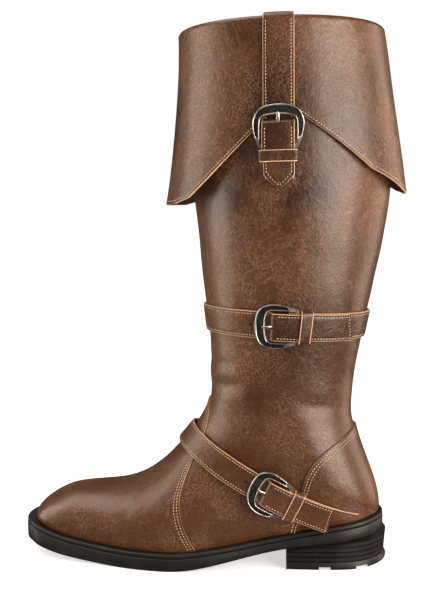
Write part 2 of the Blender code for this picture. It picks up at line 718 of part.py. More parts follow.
ring_t = np.linspace(0.0, 1.0, 721)
ring = upper_point(np.full_like(ring_t, TOP_ROW), ring_t)
collar_centre = 0.5 * (ring[:, 0].min() + ring[:, 0].max())
collar_half_length = 0.5 * (ring[:, 0].max() - ring[:, 0].min())
collar_half_width = 0.5 * (ring[:, 1].max() - ring[:, 1].min())
ring_ahead = (collar_centre - ring[:, 0]) / collar_half_length
ring_angle = np.degrees(np.arctan2(ring[:, 1] / collar_half_width, ring_ahead))


def cuff_flare(angle, drop):
    """How far the cuff stands off the shaft, at an angle from the front and a drop below the collar."""
    facing = np.cos(np.radians(angle))
    end = np.where(facing > 0.0, CUFF_FLARE_FRONT, CUFF_FLARE_BACK)
    power = np.where(facing > 0.0, 1.65, 1.65 + 0.75 * np.abs(facing))
    reach = CUFF_FLARE_SIDE + (end - CUFF_FLARE_SIDE) * facing ** 2
    return reach * (np.maximum(drop, 0.0) / CUFF_DROP) ** power


def level_offset(t, drop, distance, rise):
    """Point off the shaft at a drop below the collar, moved level and then up."""
    row = solve_row(t, lambda x, z: z, COLLAR_HEIGHT - drop, HEEL_ROW + 2.0, TOP_ROW)
    row = np.where(np.asarray(drop) <= 0.0, TOP_ROW, row)
    normal = upper_normal(row, np.mod(t, 1.0))
    normal[..., 2] = 0.0
    normal /= np.linalg.norm(normal, axis=-1, keepdims=True)
    point = upper_point(row, np.mod(t, 1.0)) + normal * np.asarray(distance)[..., None]
    point[..., 2] += rise
    return point


def fold_path(inner_gap, thickness, lip):
    """Path over the collar: drop, distance of the near and of the far face, and their rise."""
    near = UPPER_WALL / 2 + inner_gap
    far = near + thickness
    path = [(lip, -near - UPPER_WALL / 2, -far - UPPER_WALL / 2, 0.0, 0.0),
            (0.0, -near - UPPER_WALL / 2, -far - UPPER_WALL / 2, 0.0, 0.0)]
    for turn in (45, 90, 135):
        c, k = math.cos(math.radians(turn)), math.sin(math.radians(turn))
        path.append((0.0, -UPPER_WALL / 2 - near * c, -UPPER_WALL / 2 - far * c, near * k, far * k))
    path.append((0.0, inner_gap, inner_gap + thickness, 0.0, 0.0))
    return path


def make_cuff():
    half = [4, 13, 22, 33, 45, 56, 67, 78, 88, 99, 111, 123, 135, 150, 165, 176]
    angles = np.array([-a for a in half[::-1]] + half, dtype=float)
    order = np.argsort(ring_angle)
    columns = np.interp(angles, ring_angle[order], ring_t[order])
    columns = columns[np.argsort(angles)]
    angles = np.sort(angles)
    edge = np.interp(np.abs(angles), [a for a, _ in CUFF_EDGE], [d for _, d in CUFF_EDGE]) * CUFF_DROP
    near = []
    far = []
    for drop, near_out, far_out, near_up, far_up in fold_path(WRAP_GAP, CUFF_THICKNESS, CUFF_LIP):
        drops = np.full_like(columns, drop)
        near.append(level_offset(columns, drops, np.full_like(columns, near_out), near_up))
        far.append(level_offset(columns, drops, np.full_like(columns, far_out), far_up))
    for share in (0.12, 0.3, 0.48, 0.66, 0.83, 1.0):
        drops = edge * share
        stand = WRAP_GAP + cuff_flare(angles, drops)
        near.append(level_offset(columns, drops, stand, 0.0))
        far.append(level_offset(columns, drops, stand + CUFF_THICKNESS, 0.0))
    near = np.array(near).transpose(1, 0, 2)
    far = np.array(far).transpose(1, 0, 2)
    return add_sheet("cuff", near, far, leather("cuff"), closed=True)


# Straps and buckles. Along a strap, u runs from the buckle's bar toward the tail, v runs across,
# and h is the height over the upper

def smooth_step(value):
    value = np.clip(value, 0.0, 1.0)
    return value * value * (3.0 - 2.0 * value)


BAR_LEVEL = WRAP_GAP + STRAP_THICKNESS + GAP + BAR_THICKNESS / 2
OVER_BAR = BAR_LEVEL + BAR_THICKNESS / 2 + GAP
TAIL_LEVEL = WRAP_GAP + STRAP_THICKNESS + WRAP_GAP


def strap_height(u):
    """Under side of the strap that comes through the buckle: under the crown, over the bar, on the tail."""
    rise = smooth_step((u + 0.0195) / 0.0065)
    fall = smooth_step((u - 0.002) / 0.010)
    return WRAP_GAP + (OVER_BAR - WRAP_GAP) * rise - (OVER_BAR - TAIL_LEVEL) * fall


TAIL_POINT = 0.0095           # length of a strap's shaped end
HOLE_START = -0.0185
HOLE_END = -0.0125
STRAP_STEPS = [-0.026, -0.0215, HOLE_START, HOLE_END, -0.006, 0.0, 0.004, 0.008, 0.012]


def strap_rows(start, end, spacing):
    """Rows along a strap, with its buckle's steps between."""
    count = max(2, int(round((STRAP_STEPS[0] - start) / spacing)) + 1)
    before = np.linspace(start, STRAP_STEPS[0], count)[:-1]
    shoulder = end - TAIL_POINT
    after = [0.5 * (STRAP_STEPS[-1] + shoulder), shoulder, end - 0.6 * TAIL_POINT, end - 0.25 * TAIL_POINT, end]
    return np.concatenate([before, STRAP_STEPS, after])


def window_rows(rows):
    start = int(np.argmin(np.abs(rows - HOLE_START)))
    return start, start + 1


def strap_columns(width):
    slot = PRONG_WIDTH / 2 + STRAP_CLEARANCE
    return np.array([-width / 2, -slot, slot, width / 2])


# Buckle frame, from the crown's middle to the bar's middle: outer u and v, inner u and v, as shares
# of the frame's length and half width, and the share of the band's thickness
FRAME = [
    (-1.00, 0.00, -0.740, 0.00, 1.0),
    (-0.975, 0.42, -0.725, 0.38, 1.0),
    (-0.88, 0.77, -0.67, 0.66, 1.0),
    (-0.68, 0.97, -0.53, 0.725, 1.0),
    (-0.48, 1.00, -0.32, 0.73, 1.0),
    (-0.24, 0.92, -0.18, 0.725, 0.95),
    (-0.04, 0.82, -0.085, 0.705, 0.8),
    (0.035, 0.76, -0.037, 0.66, 0.75),
    (0.036, 0.35, -0.036, 0.35, 0.73),
    (0.036, 0.00, -0.036, 0.00, 0.73),
]


def make_frame(name, place, lift):
    half = np.array(FRAME)
    mirrored = half[::-1][1:-1] * [1, -1, 1, -1, 1]
    table = np.concatenate([half, mirrored])
    low = lift + BAR_LEVEL - BAR_THICKNESS / 2
    rings = []
    for outer_u, outer_v, inner_u, inner_v, thick in table:
        tall = FRAME_THICKNESS * thick
        corners = []
        for share, h in ((0.0, 0.0), (0.0, 0.65), (0.22, 1.0), (0.78, 1.0), (1.0, 0.65), (1.0, 0.0)):
            u = (outer_u + (inner_u - outer_u) * share) * FRAME_LENGTH
            v = (outer_v + (inner_v - outer_v) * share) * FRAME_WIDTH / 2
            corners.append((u, v, low + h * tall))
        rings.append(corners)
    rings = np.array(rings)
    return add_tube(name, place(rings[..., 0], rings[..., 1], rings[..., 2]), metal(name))


def make_prong(name, place, lift):
    path = [(-0.0015, BAR_LEVEL), (-0.012, BAR_LEVEL + 0.0001), (-0.0165, BAR_LEVEL + 0.0012),
            (-0.0205, BAR_LEVEL + 0.0029), (-0.0255, BAR_LEVEL + 0.0034)]
    under = []
    over = []
    for u, h in path:
        narrow = 0.75 if u == path[-1][0] else 1.0
        v = np.array([-0.5, 0.5]) * PRONG_WIDTH * narrow
        under.append(place(np.full(2, u), v, np.full(2, lift + h - PRONG_THICKNESS / 2)))
        over.append(place(np.full(2, u), v, np.full(2, lift + h + PRONG_THICKNESS / 2)))
    return add_sheet(name, np.array(under), np.array(over), metal(name))


def make_keeper(name, place, lift, width):
    """Bridge over both straps, with its feet beside them."""
    side = width / 2 + STRAP_CLEARANCE
    u = KEEPER_PLACE + np.linspace(-KEEPER_WIDTH / 2, KEEPER_WIDTH / 2, 4)
    under = []
    over = []
    for k in u:
        clear = float(strap_height(np.array(k))) + STRAP_THICKNESS + GAP
        foot = WRAP_GAP
        wide = side + KEEPER_THICKNESS
        tall = clear + KEEPER_THICKNESS
        inner = [(-side, foot), (-side, clear), (0.0, clear), (side, clear), (side, foot)]
        outer = [(-wide, foot), (-wide, tall), (0.0, tall), (wide, tall), (wide, foot)]
        for store, points in ((under, inner), (over, outer)):
            v = np.array([q[0] for q in points])
            h = np.array([q[1] for q in points])
            store.append(place(np.full(5, k), v, h + lift))
    return add_sheet(name, np.array(under), np.array(over), leather(name))


def tail_shape(u, v, end, point):
    """Narrow a strap's last stretch to its point."""
    return v * np.sqrt(np.clip((end - u) / point, 0.02, 1.0)) ** 1.4


def band_map(measure, t_bar, low, high, t_step=0.0015, toward=1.0):
    """Map of a strap that lies round the upper where measure(x, z) is v.
    The strap runs from its bar at column t_bar."""
    t = t_bar + toward * np.arange(-1.12, 0.45, t_step)
    s = solve_row(t, measure, 0.0, low, high)
    line = upper_point(s, np.mod(t, 1.0))
    run = np.concatenate([[0.0], np.cumsum(np.linalg.norm(np.diff(line, axis=0), axis=1))])
    run -= np.interp(0.0, toward * (t - t_bar), run)

    def column_at(u):
        return t_bar + toward * np.interp(u, run, toward * (t - t_bar))

    def place(u, v, h):
        u, v, h = np.broadcast_arrays(u, v, h)
        column = column_at(u)
        row = solve_row(column, measure, v, low, high)
        column = np.mod(column, 1.0)
        return upper_offset(row, column, h)

    return place, column_at


# Calf strap: one strap round the shaft, its first end under the bar and its last the tail

CALF_LEVEL = float(height(1.20209))           # strap's middle at the buckle's bar
CALF_SLOPE = 0.046           # how much it climbs toward the front
CALF_BAR_X = float(x_at(0.22759))
CALF_TAIL = 0.048


def calf_measure(x, z):
    return z - CALF_LEVEL - CALF_SLOPE * (CALF_BAR_X - x)


def make_calf_strap():
    t_bar = side_columns(np.array([CALF_BAR_X]), np.array([CALF_LEVEL]))[1][0]
    place, column_at = band_map(calf_measure, t_bar, 15.5, 21.0, toward=-1.0)
    dense = np.linspace(-0.45, 0.1, 1101)
    round_once = np.interp(1.0, (column_at(dense) - t_bar)[::-1], dense[::-1])
    rows = strap_rows(round_once - 0.006, CALF_TAIL, 0.0125)
    columns = strap_columns(CALF_STRAP_WIDTH)
    u = rows[:, None] + 0.0 * columns
    v = columns + 0.0 * u
    slant = np.clip((u - CALF_TAIL + 0.011) / 0.011, 0.0, 1.0) * (CALF_STRAP_WIDTH / 2 + v) * -0.35
    h = strap_height(u)
    under = place(u + slant, v, h)
    over = place(u + slant, v, h + STRAP_THICKNESS)
    add_sheet("calf_strap", under, over, leather("calf_strap"), window=(window_rows(rows), (1, 2)))
    make_frame("calf_buckle", place, 0.0)
    make_prong("calf_prong", place, 0.0)
    make_keeper("calf_keeper", place, 0.0, CALF_STRAP_WIDTH)


# Ankle strap: over the instep, through its buckle and back to the welt

ANKLE_LIFT = COUNTER_THICKNESS + WRAP_GAP + 0.0007     # it lies over the counter's edge and the vamp's edge
ANKLE_START = (float(x_at(0.53793)), float(height(0.73050)))
ANKLE_END = (float(x_at(0.14655)), float(height(0.30922)))
ANKLE_SAG = 0.0035
ANKLE_BAR_X = float(x_at(0.25862))
ANKLE_TAIL = 0.040
ANKLE_FOOT_GAP = 0.0075       # strap's foot above the feather line
ANKLE_CROSS_U = -0.062       # where it leaves the outer side and crosses the ridge of the instep


ANKLE_SLOPE = (ANKLE_END[1] - ANKLE_START[1]) / (ANKLE_END[0] - ANKLE_START[0])
ANKLE_STRETCH = math.hypot(1.0, ANKLE_SLOPE)


def ankle_line(x):
    """Height of the ankle strap's middle line in the side view."""
    share = (x - ANKLE_START[0]) / (ANKLE_END[0] - ANKLE_START[0])
    return ANKLE_START[1] + ANKLE_SLOPE * (x - ANKLE_START[0]) - 4.0 * ANKLE_SAG * share * (1.0 - share)


def ankle_measure(x, z):
    return (z - ankle_line(x)) / ANKLE_STRETCH


ankle_x = np.linspace(-0.114, 0.012, 64)
ankle_s, ankle_t = side_columns(ankle_x, ankle_line(ankle_x))
ankle_steps = np.linalg.norm(np.diff(upper_point(ankle_s, ankle_t), axis=0), axis=1)
ankle_run = np.concatenate([[0.0], np.cumsum(ankle_steps)])
ankle_run -= np.interp(ANKLE_BAR_X, ankle_x, ankle_run)


def ankle_columns(x, v, side=-1):
    """Row and column of the upper where the ankle strap's middle is at x, at v across the strap."""
    return side_columns(x - v * ANKLE_SLOPE / ANKLE_STRETCH, ankle_line(x) + v / ANKLE_STRETCH, side)


def ankle_place(u, v, h):
    u, v, h = np.broadcast_arrays(u, v, h)
    s, t = ankle_columns(np.interp(u, ankle_run, ankle_x), v)
    return upper_offset(s, t, h)


def foot_x(v):
    """Place along the ankle strap's middle where its line at v comes down to the welt."""
    low = np.full_like(v, -0.05)
    high = np.full_like(v, HEEL_BACK_X)
    for _ in range(30):
        middle = 0.5 * (low + high)
        level = ankle_line(middle) + v / ANKLE_STRETCH
        free = level > seat_z(middle - v * ANKLE_SLOPE / ANKLE_STRETCH) + ANKLE_FOOT_GAP
        low = np.where(free, middle, low)
        high = np.where(free, high, middle)
    return low


def make_ankle_strap():
    columns = strap_columns(ANKLE_STRAP_WIDTH)
    rows = strap_rows(ANKLE_CROSS_U, ANKLE_TAIL, 0.008)
    u = rows[:, None] + 0.0 * columns
    v = columns + 0.0 * u
    slant = np.clip((u - ANKLE_TAIL + 0.010) / 0.010, 0.0, 1.0) * (ANKLE_STRAP_WIDTH / 2 + v) * -0.25
    h = strap_height(u) + ANKLE_LIFT
    cross_x = float(np.interp(ANKLE_CROSS_U, ankle_run, ankle_x))
    shares = np.linspace(1.0, 0.0, 17)[:, None]
    far_x = cross_x + (foot_x(columns) - cross_x) * shares
    far_s, far_t = ankle_columns(far_x, columns + 0.0 * far_x, 1)
    near_t = ankle_columns(cross_x + 0.0 * columns, columns)[1]
    ridge_t = far_t[-1] + (near_t - far_t[-1]) * np.linspace(0.0, 1.0, 9)[1:-1, None]
    ridge_s = solve_row(ridge_t, ankle_measure, columns + 0.0 * ridge_t, 8.0, 15.0)
    s = np.concatenate([far_s, ridge_s])
    t = np.concatenate([far_t, ridge_t])
    level = np.full(t.shape, WRAP_GAP + ANKLE_LIFT)
    under = np.concatenate([upper_offset(s, t, level), ankle_place(u + slant, v, h)])
    over = np.concatenate([upper_offset(s, t, level + STRAP_THICKNESS),
                           ankle_place(u + slant, v, h + STRAP_THICKNESS)])
    first, last = window_rows(rows)
    before = len(s)
    window = ((first + before, last + before), (1, 2))
    add_sheet("ankle_strap", under, over, leather("ankle_strap"), window=window)
    across = strap_columns(ANKLE_STRAP_WIDTH - BASE_INSET)
    start = ANKLE_BAR_X - BASE_LEAD
    x = start + (foot_x(across) - start) * np.linspace(0.0, 1.0, 15)[:, None]
    s, t = ankle_columns(x, across + 0.0 * x)
    level = np.full(t.shape, WRAP_GAP + ANKLE_LIFT)
    add_sheet("ankle_strap_base", upper_offset(s, t, level), upper_offset(s, t, level + STRAP_THICKNESS),
              leather("ankle_strap_base"))
    make_frame("ankle_buckle", ankle_place, ANKLE_LIFT)
    make_prong("ankle_prong", ankle_place, ANKLE_LIFT)
    make_keeper("ankle_keeper", ankle_place, ANKLE_LIFT, ANKLE_STRAP_WIDTH)


# Cuff strap: out of the boot, over the folded collar and down the cuff to its buckle on the shaft

CUFF_STRAP_X = float(x_at(0.26552))
CUFF_BAR_Z = COLLAR_HEIGHT - 0.694 * CUFF_DROP
CUFF_TAIL = 0.030
CUFF_LIFT = CUFF_THICKNESS + WRAP_GAP + 0.001


def cuff_place(u, v, h):
    u, v, h = np.broadcast_arrays(u, v, h)
    s, t = side_columns(CUFF_STRAP_X + v, CUFF_BAR_Z - u)
    return upper_offset(s, t, h)


def make_cuff_strap():
    columns = strap_columns(CUFF_STRAP_WIDTH)
    inner_gap = WRAP_GAP + CUFF_THICKNESS + GAP
    under = []
    over = []
    for drop, near, far, near_up, far_up in fold_path(inner_gap, STRAP_THICKNESS, CUFF_LIP + 0.003):
        s, t = side_columns(CUFF_STRAP_X + columns, np.full(4, COLLAR_HEIGHT - drop))
        if drop == 0.0:
            s = np.full(4, float(TOP_ROW))
        normal = upper_normal(s, t)
        normal[:, 2] = 0.0
        normal /= np.linalg.norm(normal, axis=1, keepdims=True)
        point = upper_point(s, t)
        under.append(point + normal * near + [0.0, 0.0, near_up])
        over.append(point + normal * far + [0.0, 0.0, far_up])
    top_u = CUFF_BAR_Z - COLLAR_HEIGHT
    rows = strap_rows(top_u + 0.008, CUFF_TAIL, 0.011)
    u = rows[:, None] + 0.0 * columns
    v = tail_shape(u, columns + 0.0 * u, CUFF_TAIL, TAIL_POINT)
    lift = CUFF_LIFT * (1.0 - smooth_step((u - 0.004) / 0.014))
    h = strap_height(u) + lift
    under = np.concatenate([np.array(under), cuff_place(u, v, h)])
    over = np.concatenate([np.array(over), cuff_place(u, v, h + STRAP_THICKNESS)])
    first, last = window_rows(rows)
    add_sheet("cuff_strap", under, over, leather("cuff_strap"), window=((first + 6, last + 6), (1, 2)))
    rows = np.linspace(-BASE_LEAD, CUFF_TAIL - 2.0 * BASE_LEAD, 8)
    across = strap_columns(CUFF_STRAP_WIDTH - BASE_INSET)
    u = rows[:, None] + 0.0 * across
    h = WRAP_GAP + CUFF_LIFT * (1.0 - smooth_step((u - 0.004) / 0.014))
    v = across + 0.0 * u
    add_sheet("cuff_strap_base", cuff_place(u, v, h), cuff_place(u, v, h + STRAP_THICKNESS),
              leather("cuff_strap_base"))
    make_frame("cuff_buckle", cuff_place, CUFF_LIFT)
    make_prong("cuff_prong", cuff_place, CUFF_LIFT)
    make_keeper("cuff_keeper", cuff_place, CUFF_LIFT, CUFF_STRAP_WIDTH)


make_welt()
make_outsole()
make_insole()
make_heel()
make_upper()
make_counter()
make_cuff()
make_calf_strap()
make_ankle_strap()
make_cuff_strap()
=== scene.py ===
"""Left pirate boot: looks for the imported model, seen from its outer side."""
import math

import bmesh
import bpy
import numpy as np
from mathutils import Matrix, Vector


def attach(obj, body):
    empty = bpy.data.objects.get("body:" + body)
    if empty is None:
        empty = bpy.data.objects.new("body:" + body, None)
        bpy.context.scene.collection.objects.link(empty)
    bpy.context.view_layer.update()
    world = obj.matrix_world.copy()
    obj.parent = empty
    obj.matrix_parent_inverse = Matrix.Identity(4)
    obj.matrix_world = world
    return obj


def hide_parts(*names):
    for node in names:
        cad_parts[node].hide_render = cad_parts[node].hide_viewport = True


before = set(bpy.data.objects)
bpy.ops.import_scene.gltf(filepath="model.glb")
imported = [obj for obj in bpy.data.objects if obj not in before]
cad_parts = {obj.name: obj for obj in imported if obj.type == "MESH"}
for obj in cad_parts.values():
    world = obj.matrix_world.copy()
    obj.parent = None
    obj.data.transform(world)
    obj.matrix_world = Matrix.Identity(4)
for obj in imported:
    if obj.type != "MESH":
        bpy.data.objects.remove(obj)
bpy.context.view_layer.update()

# Camera: a long lens at the height of the boot's middle, a little in front of its heel and
# rolled by less than a degree, as the photograph was taken.

CAMERA_PLACE = Vector((-0.03188, -0.74430, 0.28137))
CAMERA_AIM = Vector((-0.097, 0.0, 0.216))
CAMERA_ROLL = math.radians(0.8)
LENS_MM = 54.14

view_line = (CAMERA_AIM - CAMERA_PLACE).normalized()
level_right = view_line.cross(Vector((0.0, 0.0, 1.0))).normalized()
level_up = level_right.cross(view_line)
camera_right = level_right * math.cos(CAMERA_ROLL) - level_up * math.sin(CAMERA_ROLL)
camera_up = level_up * math.cos(CAMERA_ROLL) + level_right * math.sin(CAMERA_ROLL)
camera = bpy.data.objects.new("camera", bpy.data.cameras.new("camera"))
camera.data.lens = LENS_MM
camera.data.sensor_width = 36.0
camera.matrix_world = Matrix.Translation(CAMERA_PLACE) @ Matrix(
    (camera_right, camera_up, -view_line)).transposed().to_4x4()
bpy.context.scene.collection.objects.link(camera)
bpy.context.scene.camera = camera

# Studio: a white sweep of floor, tall soft boxes to the left and right that draw the long
# highlights down the shaft, a weak one behind the heel, and a broad light overhead for the toe.

AIR_SEEN = 1.0
AIR_LIGHT = 0.06
BOOT_MIDDLE = Vector((-0.09, 0.0, 0.21))
BOX_COLOUR = (1.0, 0.86, 0.74)
# name, place, width, height, watts
SOFT_BOXES = [
    ("soft_box_front", (-1.10, -0.10, 0.34), 0.60, 1.15, 9.0),
    ("soft_box_back", (0.80, -0.70, 0.36), 0.85, 1.15, 22.0),
    ("soft_box_rim", (0.95, 0.42, 0.34), 0.55, 1.10, 4.5),
]
OVERHEAD_STRENGTH = 1.9
OVERHEAD_COLOUR = (1.0, 0.90, 0.80)
OVERHEAD_SPREAD = math.radians(50.0)
OVERHEAD_TILT = math.radians(-17.0)
FLOOR_HALF = 40.0
FLOOR_GREY = (0.86, 0.86, 0.86, 1.0)
FLOOR_GLOW = 0.62

scene = bpy.context.scene
scene.view_settings.view_transform = "Standard"
world = bpy.data.worlds.new("studio")
world.use_nodes = True
scene.world = world
air = world.node_tree
air.nodes.clear()
light_path = air.nodes.new("ShaderNodeLightPath")
air_mix = air.nodes.new("ShaderNodeMixShader")
air_out = air.nodes.new("ShaderNodeOutputWorld")
air.links.new(light_path.outputs["Is Camera Ray"], air_mix.inputs["Fac"])
for place, strength in ((1, AIR_LIGHT), (2, AIR_SEEN)):
    background = air.nodes.new("ShaderNodeBackground")
    background.inputs["Color"].default_value = (1.0, 1.0, 1.0, 1.0)
    background.inputs["Strength"].default_value = strength
    air.links.new(background.outputs[0], air_mix.inputs[place])
air.links.new(air_mix.outputs[0], air_out.inputs["Surface"])

for name, place, wide, tall, watts in SOFT_BOXES:
    light = bpy.data.lights.new(name, "AREA")
    light.shape = "RECTANGLE"
    light.size = wide
    light.size_y = tall
    light.energy = watts
    light.color = BOX_COLOUR
    lamp = bpy.data.objects.new(name, light)
    lamp.location = place
    lamp.rotation_euler = (BOOT_MIDDLE - Vector(place)).to_track_quat("-Z", "Y").to_euler()
    scene.collection.objects.link(lamp)

sun = bpy.data.lights.new("overhead", "SUN")
sun.energy = OVERHEAD_STRENGTH
sun.angle = OVERHEAD_SPREAD
sun.color = OVERHEAD_COLOUR
overhead = bpy.data.objects.new("overhead", sun)
overhead.rotation_euler = (0.0, OVERHEAD_TILT, 0.0)
scene.collection.objects.link(overhead)

floor_mesh = bpy.data.meshes.new("floor")
floor_mesh.from_pydata([(-FLOOR_HALF, -FLOOR_HALF, 0.0), (FLOOR_HALF, -FLOOR_HALF, 0.0),
                        (FLOOR_HALF, FLOOR_HALF, 0.0), (-FLOOR_HALF, FLOOR_HALF, 0.0)], [], [(0, 1, 2, 3)])
floor = bpy.data.objects.new("floor", floor_mesh)
scene.collection.objects.link(floor)
floor_finish = bpy.data.materials.new("white_floor")
floor_finish.use_nodes = True
floor_shader = floor_finish.node_tree.nodes["Principled BSDF"]
floor_shader.inputs["Base Color"].default_value = FLOOR_GREY
floor_shader.inputs["Roughness"].default_value = 0.8
floor_shader.inputs["Specular IOR Level"].default_value = 0.0
floor_shader.inputs["Emission Color"].default_value = (1.0, 1.0, 1.0, 1.0)
floor_shader.inputs["Emission Strength"].default_value = FLOOR_GLOW
floor_mesh.materials.append(floor_finish)
floor.visible_glossy = False

# Upper: one hollow shell of coated leather over the last, cut in two panels. The vamp lies over
# the quarters with its raw edge behind the ball of the foot; the shaft runs up to the collar.

LAST_LENGTH = 0.290
BALL_WIDTH = 0.092
ANKLE_HEIGHT = 0.141
COLLAR_HEIGHT = 0.428
CALF_WIDTH = 0.136
HEEL_BACK_X = 0.032
HEEL_HEIGHT = 0.025
TOE_SPRING = 0.012
SOLE_THICKNESS = 0.0139
GAP = 0.0003
WRAP_GAP = 0.0007
UPPER_WALL = 0.002
VAMP_STEP = 0.0013

# Feather line: station, lateral edge, medial edge
FEATHER = [
    (1.000, -0.065, 0.065), (0.994, 0.050, 0.180), (0.976, 0.155, 0.290), (0.948, 0.212, 0.355),
    (0.897, 0.272, 0.413), (0.824, 0.332, 0.473), (0.738, 0.408, 0.522), (0.652, 0.471, 0.520),
    (0.566, 0.498, 0.462), (0.483, 0.480, 0.386), (0.400, 0.433, 0.326), (0.317, 0.394, 0.317),
    (0.234, 0.386, 0.335), (0.159, 0.382, 0.345), (0.097, 0.362, 0.336), (0.052, 0.304, 0.287),
    (0.021, 0.207, 0.197), (0.005, 0.103, 0.098), (0.000, 0.000, 0.000),
]
# Sole: station, toe spring, heel height, thickness and welt margin as shares of their sizes
SOLE = [
    (1.00, 1.00, 0.00, 1.24, 1.45), (0.95, 0.63, 0.00, 1.19, 1.22), (0.88, 0.33, 0.00, 1.12, 1.10),
    (0.80, 0.13, 0.00, 1.08, 1.04), (0.72, 0.02, 0.00, 1.05, 1.00), (0.65, 0.00, 0.00, 1.03, 1.00),
    (0.56, 0.00, 0.01, 1.02, 0.98), (0.48, 0.00, 0.13, 0.97, 0.92), (0.40, 0.00, 0.31, 0.86, 0.82),
    (0.32, 0.00, 0.51, 0.79, 0.76), (0.24, 0.00, 0.68, 0.82, 0.72), (0.15, 0.00, 0.81, 0.94, 0.72),
    (0.07, 0.00, 0.92, 1.00, 0.74), (0.00, 0.00, 1.00, 1.02, 0.80),
]
# Upper's sections: front station and level, back station and level, lateral and medial half
# width, ridge offset, place of the widest point, fullness of the front and of the back half
UPPER = [
    (1.000, 0.210, 1.000, 0.000, -0.065, 0.065, 0.065, 0.30, 0.00, 0.00),
    (0.994, 0.250, 0.994, 0.000, 0.062, 0.192, 0.065, 0.30, 0.00, 0.00),
    (0.976, 0.291, 0.976, 0.000, 0.176, 0.311, 0.066, 0.30, 0.04, 0.00),
    (0.948, 0.330, 0.948, 0.000, 0.238, 0.382, 0.068, 0.31, 0.07, 0.00),
    (0.897, 0.377, 0.897, 0.000, 0.300, 0.441, 0.072, 0.32, 0.08, 0.00),
    (0.824, 0.396, 0.824, 0.000, 0.361, 0.502, 0.080, 0.32, 0.07, 0.00),
    (0.738, 0.415, 0.738, 0.000, 0.438, 0.550, 0.087, 0.30, 0.03, 0.00),
    (0.672, 0.468, 0.672, 0.000, 0.487, 0.550, 0.080, 0.28, -0.04, 0.00),
    (0.626, 0.533, 0.621, 0.000, 0.508, 0.530, 0.070, 0.26, -0.10, 0.00),
    (0.586, 0.610, 0.565, 0.000, 0.518, 0.484, 0.058, 0.25, -0.16, 0.00),
    (0.523, 0.760, 0.428, 0.000, 0.482, 0.415, 0.030, 0.26, -0.18, 0.00),
    (0.487, 0.874, 0.276, 0.000, 0.457, 0.430, 0.012, 0.36, -0.10, 0.00),
    (0.475, 0.939, 0.138, 0.000, 0.462, 0.452, 0.004, 0.44, -0.03, 0.03),
    (0.4727, 0.976, 0.034, 0.000, 0.466, 0.464, 0.000, 0.48, 0.00, 0.08),
    (0.4724, 1.000, 0.000, 0.277, 0.468, 0.468, 0.000, 0.50, 0.00, 0.10),
    (0.4724, 1.017, 0.006, 0.418, 0.318, 0.318, 0.000, 0.50, 0.00, 0.08),
    (0.4724, 1.049, 0.041, 0.631, 0.320, 0.320, 0.000, 0.50, 0.00, 0.02),
    (0.4724, 1.094, 0.069, 0.865, 0.328, 0.328, 0.000, 0.50, 0.00, -0.04),
    (0.4745, 1.166, 0.058, 1.070, 0.358, 0.358, 0.000, 0.49, 0.00, -0.04),
    (0.4869, 1.286, 0.022, 1.247, 0.415, 0.415, 0.000, 0.49, 0.00, 0.00),
    (0.5045, 1.467, -0.023, 1.463, 0.470, 0.470, 0.000, 0.49, 0.00, 0.00),
    (0.5228, 1.679, -0.041, 1.686, 0.500, 0.500, 0.000, 0.49, 0.00, 0.00),
    (0.5372, 1.895, -0.026, 1.901, 0.490, 0.490, 0.000, 0.49, 0.00, 0.00),
    (0.5414, 2.000, -0.013, 2.000, 0.481, 0.481, 0.000, 0.49, 0.00, 0.00),
]
FIRST_SIDE_ROW = 3
HEEL_ROW = 14
TOP_ROW = len(UPPER) - 1
SEARCH_STEPS = 34
# Vamp seam: share of the way from the feather line to the ridge, row of the sections
SEAM_ROWS = [(0.0, 9.45), (0.30, 9.25), (0.55, 9.55), (0.80, 10.7), (1.0, 12.25)]


def spline(rows):
    """Smooth curve through the rows of a table, one unit of the parameter for each row."""
    values = np.array(rows, dtype=float)
    count = len(values)
    system = np.eye(count)
    right = np.zeros_like(values)
    for i in range(1, count - 1):
        system[i, i - 1:i + 2] = (1.0, 4.0, 1.0)
        right[i] = 6.0 * (values[i + 1] - 2.0 * values[i] + values[i - 1])
    bend = np.linalg.solve(system, right)

    def at(parameter):
        p = np.atleast_1d(np.asarray(parameter, dtype=float))
        i = np.clip(np.floor(p).astype(int), 0, count - 2)
        t = (p - i)[..., None]
        a = 1.0 - t
        curve = a * values[i] + t * values[i + 1]
        return curve + ((a ** 3 - a) * bend[i] + (t ** 3 - t) * bend[i + 1]) / 6.0

    return at


def lookup(rows):
    """Columns of a table as smooth functions of its first column."""
    curve = spline(rows)
    dense = np.linspace(0.0, len(rows) - 1.0, 1201)
    samples = curve(dense)
    order = np.argsort(samples[:, 0])

    def at(first, column):
        return curve(np.interp(first, samples[order, 0], dense[order]))[..., column]

    return at


def x_at(station):
    return HEEL_BACK_X - np.asarray(station) * LAST_LENGTH


def height(level):
    """Height of a level: 0 the floor, 1 the ankle, 2 the collar."""
    level = np.asarray(level, dtype=float)
    leg = COLLAR_HEIGHT - ANKLE_HEIGHT
    return np.minimum(level, 1.0) * ANKLE_HEIGHT + np.maximum(level - 1.0, 0.0) * leg


feather_curve = spline(FEATHER)
feather_at = lookup(FEATHER)
sole_at = lookup(SOLE)


def bottom_z(x):
    """Bottom of the outsole; behind the breast, top of the heel block."""
    station = (HEEL_BACK_X - x) / LAST_LENGTH
    return sole_at(station, 1) * TOE_SPRING + sole_at(station, 2) * HEEL_HEIGHT


def seat_z(x):
    """Feather line, where the upper stands on the welt."""
    x = np.atleast_1d(x)
    return bottom_z(x) + sole_at((HEEL_BACK_X - x) / LAST_LENGTH, 3) * SOLE_THICKNESS + GAP


